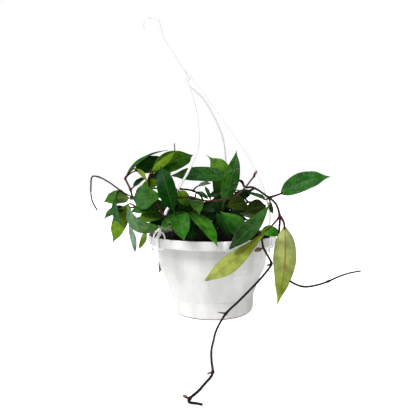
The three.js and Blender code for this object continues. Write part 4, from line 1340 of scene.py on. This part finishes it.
# %% Saucer
saucer = turned("saucer_tray", rounded([
    [0, 0],
    [61.5, 0],
    [64, 2.5],
    [65.4, 7],
    [65.9, SAUCER_HEIGHT - 0.2],
    [65.8, SAUCER_HEIGHT + 0.1],
    [SEAT_RADIUS + 0.6, SAUCER_HEIGHT],
    [SEAT_RADIUS + 0.4, 8],
    [SEAT_RADIUS - 0.9, 4],
    [SEAT_RADIUS - 2.8, 2],
    [0, 2],
], 0.5), [saucer_white])
placed(saucer, "basket_plastic", "saucer")


# %% [markdown]
# Potting mix is peat with bark chips, damp and nearly black. Geometry Nodes roughen the top of the
# heap with noise and scatter chips of three sizes over it. Only what lies above a given height is
# worked, because nothing shows the sides.

# %% Geometry Nodes: rough heap with chips
LUMPS_PER_METRE = 90.0
LUMP_HEIGHT = 9
SPREAD_SEED, TURN_SEED, STRETCH_SEED = 5, 20, 30
NO_TURN, FULL_TURN = (0, 0, 0), (6.28, 6.28, 6.28)
# Chips: radius in mm, how many on a square metre, least distance in mm
CHIPS = [(1.0, 42000.0, 1.6), (2.0, 12000.0, 3.4), (3.6, 2600.0, 8.0)]
FLATTEST_CHIP = (0.4, 0.3, 0.25)
FULLEST_CHIP = (1.5, 0.8, 0.5)


def heap_tree():
    tree, given, sockets = geometry_tree("rough heap with chips", Level="Float", Peat="Material",
                                         Chips="Material")
    place = node(tree, "GeometryNodeInputPosition")
    height = node(tree, "ShaderNodeSeparateXYZ", {0: place}).outputs["Z"]
    top = node(tree, "FunctionNodeCompare", {0: height, 1: given["Level"]}, operation="GREATER_THAN")
    lumps = node(tree, "ShaderNodeTexNoise", {"Vector": place, "Scale": LUMPS_PER_METRE, "Detail": 5.0})
    rise = node(tree, "ShaderNodeMath", {0: lumps, 1: 0.5}, operation="SUBTRACT")
    rise = node(tree, "ShaderNodeMath", {0: rise, 1: LUMP_HEIGHT * MM}, operation="MULTIPLY")
    shift = node(tree, "ShaderNodeCombineXYZ", {2: rise})
    rough = node(tree, "GeometryNodeSetPosition", {
        "Geometry": given["Geometry"],
        "Selection": top,
        "Offset": shift,
    })
    heap = node(tree, "GeometryNodeSetMaterial", {"Geometry": rough, "Material": given["Peat"]})
    both = node(tree, "GeometryNodeJoinGeometry")
    tree.links.new(heap.outputs[0], both.inputs[0])
    for number, (size, count, apart) in enumerate(CHIPS):
        spots = node(tree, "GeometryNodeDistributePointsOnFaces", {
            "Mesh": rough,
            "Selection": top,
            "Distance Min": apart * MM,
            "Density Max": count,
            "Seed": SPREAD_SEED + number,
        }, distribute_method="POISSON")
        turn, stretch = [
            node(tree, "FunctionNodeRandomValue", {0: low, 1: high, "Seed": seed + number},
                 data_type="FLOAT_VECTOR").outputs[0]
            for low, high, seed in ((NO_TURN, FULL_TURN, TURN_SEED),
                                    (FLATTEST_CHIP, FULLEST_CHIP, STRETCH_SEED))
        ]
        chips = node(tree, "GeometryNodeInstanceOnPoints", {
            "Points": spots,
            "Instance": node(tree, "GeometryNodeMeshIcoSphere", {"Radius": size * MM, "Subdivisions": 1}),
            "Rotation": turn,
            "Scale": stretch,
        })
        real = node(tree, "GeometryNodeRealizeInstances", {"Geometry": chips})
        dressed = node(tree, "GeometryNodeSetMaterial", {"Geometry": real, "Material": given["Chips"]})
        tree.links.new(dressed.outputs[0], both.inputs[0])
    node(tree, "NodeGroupOutput", {"Geometry": both})
    return tree, sockets


heap_nodes = heap_tree()
print("heap tree:", len(heap_nodes[0].nodes), "nodes")


# %% [markdown]
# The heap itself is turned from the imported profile. Its top gets a point every few millimetres, so
# that the noise has something to move. Both finishes are dark and damp: peat is matt, bark a little
# less so.

# %% Potting mix
SOIL_EDGE = SOIL_TOP - 4
SOIL_STEP = 2.2
MIX_IOR = 1.4
MIX_SPECULAR = 0.3
CRUMB_RELIEF = 0.6


def damp_mix(name, dark, light, roughness, size_mm):
    """Dark crumbs of a real size, uneven to the touch."""
    material, tree, shader, place = finish_of(name, roughness, MIX_IOR, MIX_SPECULAR)
    colour, clouds = clouded(tree, place, size_mm, 4.0, 0.4, 0.75, dark, light)
    relief = node(tree, "ShaderNodeBump", {"Height": clouds, "Distance": CRUMB_RELIEF * MM})
    feed(tree, shader, {"Base Color": colour, "Normal": relief})
    return material


heap_floor = FLOOR_TOP + 0.4
lip_ledge = LIP_FOOT + WALL + GAP
heap_profile = [
    [0, heap_floor],
    [SEAT_RADIUS - 4.6, heap_floor],
    [SEAT_RADIUS - 2.7, 8.8],
    [SEAT_RADIUS - 2.2, LEDGE + GAP + WALL],
    [FOOT_RADIUS - 1.6, LEDGE + GAP + WALL],
    *inset(WALL + 0.4, 1),
    [NECK_RADIUS - WALL - 0.4, 94],
    [NECK_RADIUS + 0.2 - WALL, lip_ledge],
    [RIM_RADIUS - WALL - 0.4, lip_ledge],
    [RIM_RADIUS - WALL - 0.4, SOIL_EDGE],
]
heap_top = [[88, SOIL_TOP], [44, SOIL_TOP + 5], [0, SOIL_TOP + 6]]
for (r0, z0), (r1, z1) in zip([heap_profile[-1], *heap_top[:-1]], heap_top):
    count = max(2, round((r0 - r1) / SOIL_STEP))
    heap_profile += [[r0 + t * (r1 - r0), z0 + t * (z1 - z0)] for t in np.arange(1, count + 1) / count]
heap = turned("potting_mix_fine", heap_profile, [None])
peat = damp_mix("damp black peat", "#050302", "#100b08", 0.85, 4)
bark_chips = damp_mix("damp bark chips", "#080504", "#1c120c", 0.7, 5)
worked(heap, *heap_nodes, Level=SOIL_EDGE * MM, Peat=peat, Chips=bark_chips)
placed(heap, "potting_mix", "potting_mix")


# %% [markdown]
# The hanger is moulded too: three flexible straps that clip under the lip and meet in a hub with
# a hook. Slack, it leans to the left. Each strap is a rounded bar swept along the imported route,
# wide at the clip and narrow at the hub. A small moulded ring over the rim and a knob below it
# hold the clip.

# %% Bars along a line
STRAP_SIDES = 16
SQUARE = 0.5
ROUND = 1.0


def swept(name, line, across, half_wide, half_thick, corners):
    """A bar along a line, with SQUARE or ROUND corners. across is the way of its width."""
    points = []
    for i, centre in enumerate(line):
        ahead = unit(line[min(i + 1, len(line) - 1)] - line[max(i - 1, 0)])
        side = unit(across - ahead * np.dot(across, ahead))
        high = np.cross(side, ahead)
        for corner in range(STRAP_SIDES):
            angle = 2 * math.pi * (corner + 0.5) / STRAP_SIDES
            a, b = [math.copysign(abs(x) ** corners, x) for x in (math.cos(angle), math.sin(angle))]
            points.append(centre + side * (half_wide[i] * a) + high * (half_thick[i] * b))
    return cleaned(mesh_object(name, points, tube_faces(len(line), STRAP_SIDES), [hanger_white]))


# %% [markdown]
# The straps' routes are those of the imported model. The clip, the ring and the knob are given as
# seen from the rim: how far aside, how far from the basket's axis and how high.

# %% Hanger straps
HUB_CENTRE = np.array([-42.0, 0, 370])
HUB_AXIS = np.array([-0.5, 0, 0.866])
HUB_ACROSS = np.array([0.866, 0, 0.5])
HUB_ASIDE = np.array([0, 1.0, 0])
HUB_RADIUS = 4.5
LEG_THICKNESS = 2.6
LEG_END_WIDTH = 2.4
LEG_STRAIGHT_END = 12
CLIP = [(0, 95, 106.6), (0, 100, 106.6), (0, 103.2, 107.6), (0, 104.1, 111), (0, 104.2, 119),
        (0, 103.4, 123.6), (0, 100.5, 126.5)]
CLIP_RING = [(11, 97.4, 120.5), (10, 97.8, 126), (6, 99, 131), (0, 100.5, 133.5), (-5, 102.3, 131),
             (-8.5, 103.8, 125), (-10, 104.2, 118), (-12, 104, 111), (-13, 103.4, 105.5)]
CLIP_ROD = 1.2
KNOB_PLACE = (-13, 103.2, 104)
KNOB_SIZE = (2.6, 2.6, 3.6)
LEG_STEPS = 10
RING_STEPS = 6


def hanger_leg(name, azimuth, route, hub_angle, wide):
    turn, aim = math.radians(azimuth), math.radians(hub_angle)
    broad = np.array([math.cos(turn), math.sin(turn), 0])
    outward = np.array([math.sin(turn), -math.cos(turn), 0])

    def at_rim(places):
        return [broad * aside + outward * radius + UPWARD * height for aside, radius, height in places]

    seat = HUB_RADIUS + GAP + 0.7 * LEG_THICKNESS
    end = HUB_CENTRE + HUB_ACROSS * (seat * math.cos(aim)) + HUB_ASIDE * (seat * math.sin(aim))
    line = smooth_line([*at_rim(CLIP), *route, end - HUB_AXIS * LEG_STRAIGHT_END, end], LEG_STEPS)
    share = np.linspace(0, 1, len(line))
    half_wide = (wide + (LEG_END_WIDTH - wide) * share ** 2) / 2
    half_thick = np.full(len(line), LEG_THICKNESS / 2)
    strap = swept(name + "_strap", line, broad, half_wide, half_thick, SQUARE)
    ring = smooth_line(at_rim(CLIP_RING), RING_STEPS)
    rod = np.full(len(ring), CLIP_ROD)
    arch = swept(name + "_ring", ring, UPWARD + 0.3 * outward, rod, rod, ROUND)
    knob = ball(name + "_knob", KNOB_SIZE, at_rim([KNOB_PLACE])[0], hanger_white)
    placed(joined(name + "_strap", [strap, arch, knob]), "hanger_plastic", name)


hanger_leg("hanger_leg_left", -51, [
    (-76, -46, 140), (-71, -44, 156), (-66, -42, 167), (-53, -36, 192), (-42, -30, 211), (-33, -26, 229),
    (-23, -18, 258), (-22, -13, 280), (-26, -8, 315)], 240, 7.5)
hanger_leg("hanger_leg_right", 59, [
    (84, -50, 138), (85, -50, 153), (82, -47, 172), (75, -42, 194), (66, -35, 217), (52, -28, 244),
    (33, -20, 272), (10, -12, 306), (-10, -7, 334)], 0, 4)
hanger_leg("hanger_leg_back", 180, [
    (-3, 97, 142), (9, 89, 176), (23, 74, 222), (23, 62, 255), (17, 48, 284), (2, 30, 314),
    (-16, 15, 340)], 120, 4)


# %% [markdown]
# The hub is a short round boss that takes the three straps, and the hook above it is a plain rod
# bent over more than half a circle.

# %% Hub and hook
HUB_LENGTH = 16
HOOK_CENTRE = np.array([-96.0, 0, 448])
HOOK_BEND = 13
HOOK_RADIUS = 2.2
HOOK_SWEEP = 210
HOOK_STEP = 15
HOOK_IN_HUB = 4

hub_ends = [HUB_CENTRE + HUB_AXIS * HUB_LENGTH * way / 2 for way in (-1, 1)]
hook = cylinder("hook", *hub_ends, HUB_RADIUS, hanger_white)
hook_route = [HUB_CENTRE + HUB_AXIS * HOOK_IN_HUB, (-62, 0, 405), (-76, 0, 426)]
for degrees in range(0, HOOK_SWEEP + 1, HOOK_STEP):
    angle = math.radians(degrees)
    hook_route.append(HOOK_CENTRE + HOOK_BEND * np.array([math.cos(angle), 0, math.sin(angle)]))
hook_line = smooth_line(hook_route, RING_STEPS)
hook_thick = np.full(len(hook_line), HOOK_RADIUS)
combined(hook, [swept("hook_rod", hook_line, HUB_ASIDE, hook_thick, hook_thick, ROUND)], "UNION")
placed(hook, "hanger_plastic", "hanger_hook")


# %% [markdown]
# The floor is plain and white and glows, as a light table does, so that hardly a shadow is left on
# it. It glows fully to the camera and weakly to the plant, and so does the white studio all round.
# Two broad soft lights, one from the left and above and a weaker one from the right, shape the plant.

# %% Stage and light
FLOOR_SIZE = 30
FLOOR_GLOW = 0.2
STUDIO_GLOW = 0.25


def glow_to_camera(tree, shader, socket, elsewhere):
    """Full strength where the camera sees it, and a given one for all other light."""
    seen = node(tree, "ShaderNodeLightPath").outputs["Is Camera Ray"]
    feed(tree, shader, {socket: node(tree, "ShaderNodeMapRange", {0: seen, 3: elsewhere, 4: 1.0})})


def light_table():
    bpy.ops.mesh.primitive_plane_add(size=FLOOR_SIZE)
    floor = bpy.context.object
    floor.name = "floor"
    material, tree, shader, _ = finish_of("white light table", 0.9, 1.3, 0.0)
    feed(tree, shader, {"Base Color": srgb("#f2f2f2"), "Emission Color": WHITE})
    glow_to_camera(tree, shader, "Emission Strength", FLOOR_GLOW)
    floor.data.materials.append(material)


def white_studio():
    scene.world = bpy.data.worlds.new("white studio")
    scene.world.use_nodes = True
    tree = scene.world.node_tree
    feed(tree, tree.nodes["Background"], {"Color": WHITE})
    glow_to_camera(tree, tree.nodes["Background"], "Strength", STUDIO_GLOW)


def soft_sun(name, strength, spread, azimuth, elevation):
    """A broad light from a direction: azimuth turns from the camera's side, elevation from level."""
    light = bpy.data.lights.new(name, "SUN")
    light.energy = strength
    light.angle = math.radians(spread)
    a, e = math.radians(azimuth), math.radians(elevation)
    source = Vector((math.sin(a) * math.cos(e), -math.cos(a) * math.cos(e), math.sin(e)))
    shown(name, light).rotation_euler = source.to_track_quat("Z", "Y").to_euler()


light_table()
white_studio()
soft_sun("key", 2.6, 28, -62, 48)
soft_sun("fill", 0.4, 90, 50, 30)
scene.view_settings.view_transform = "Standard"
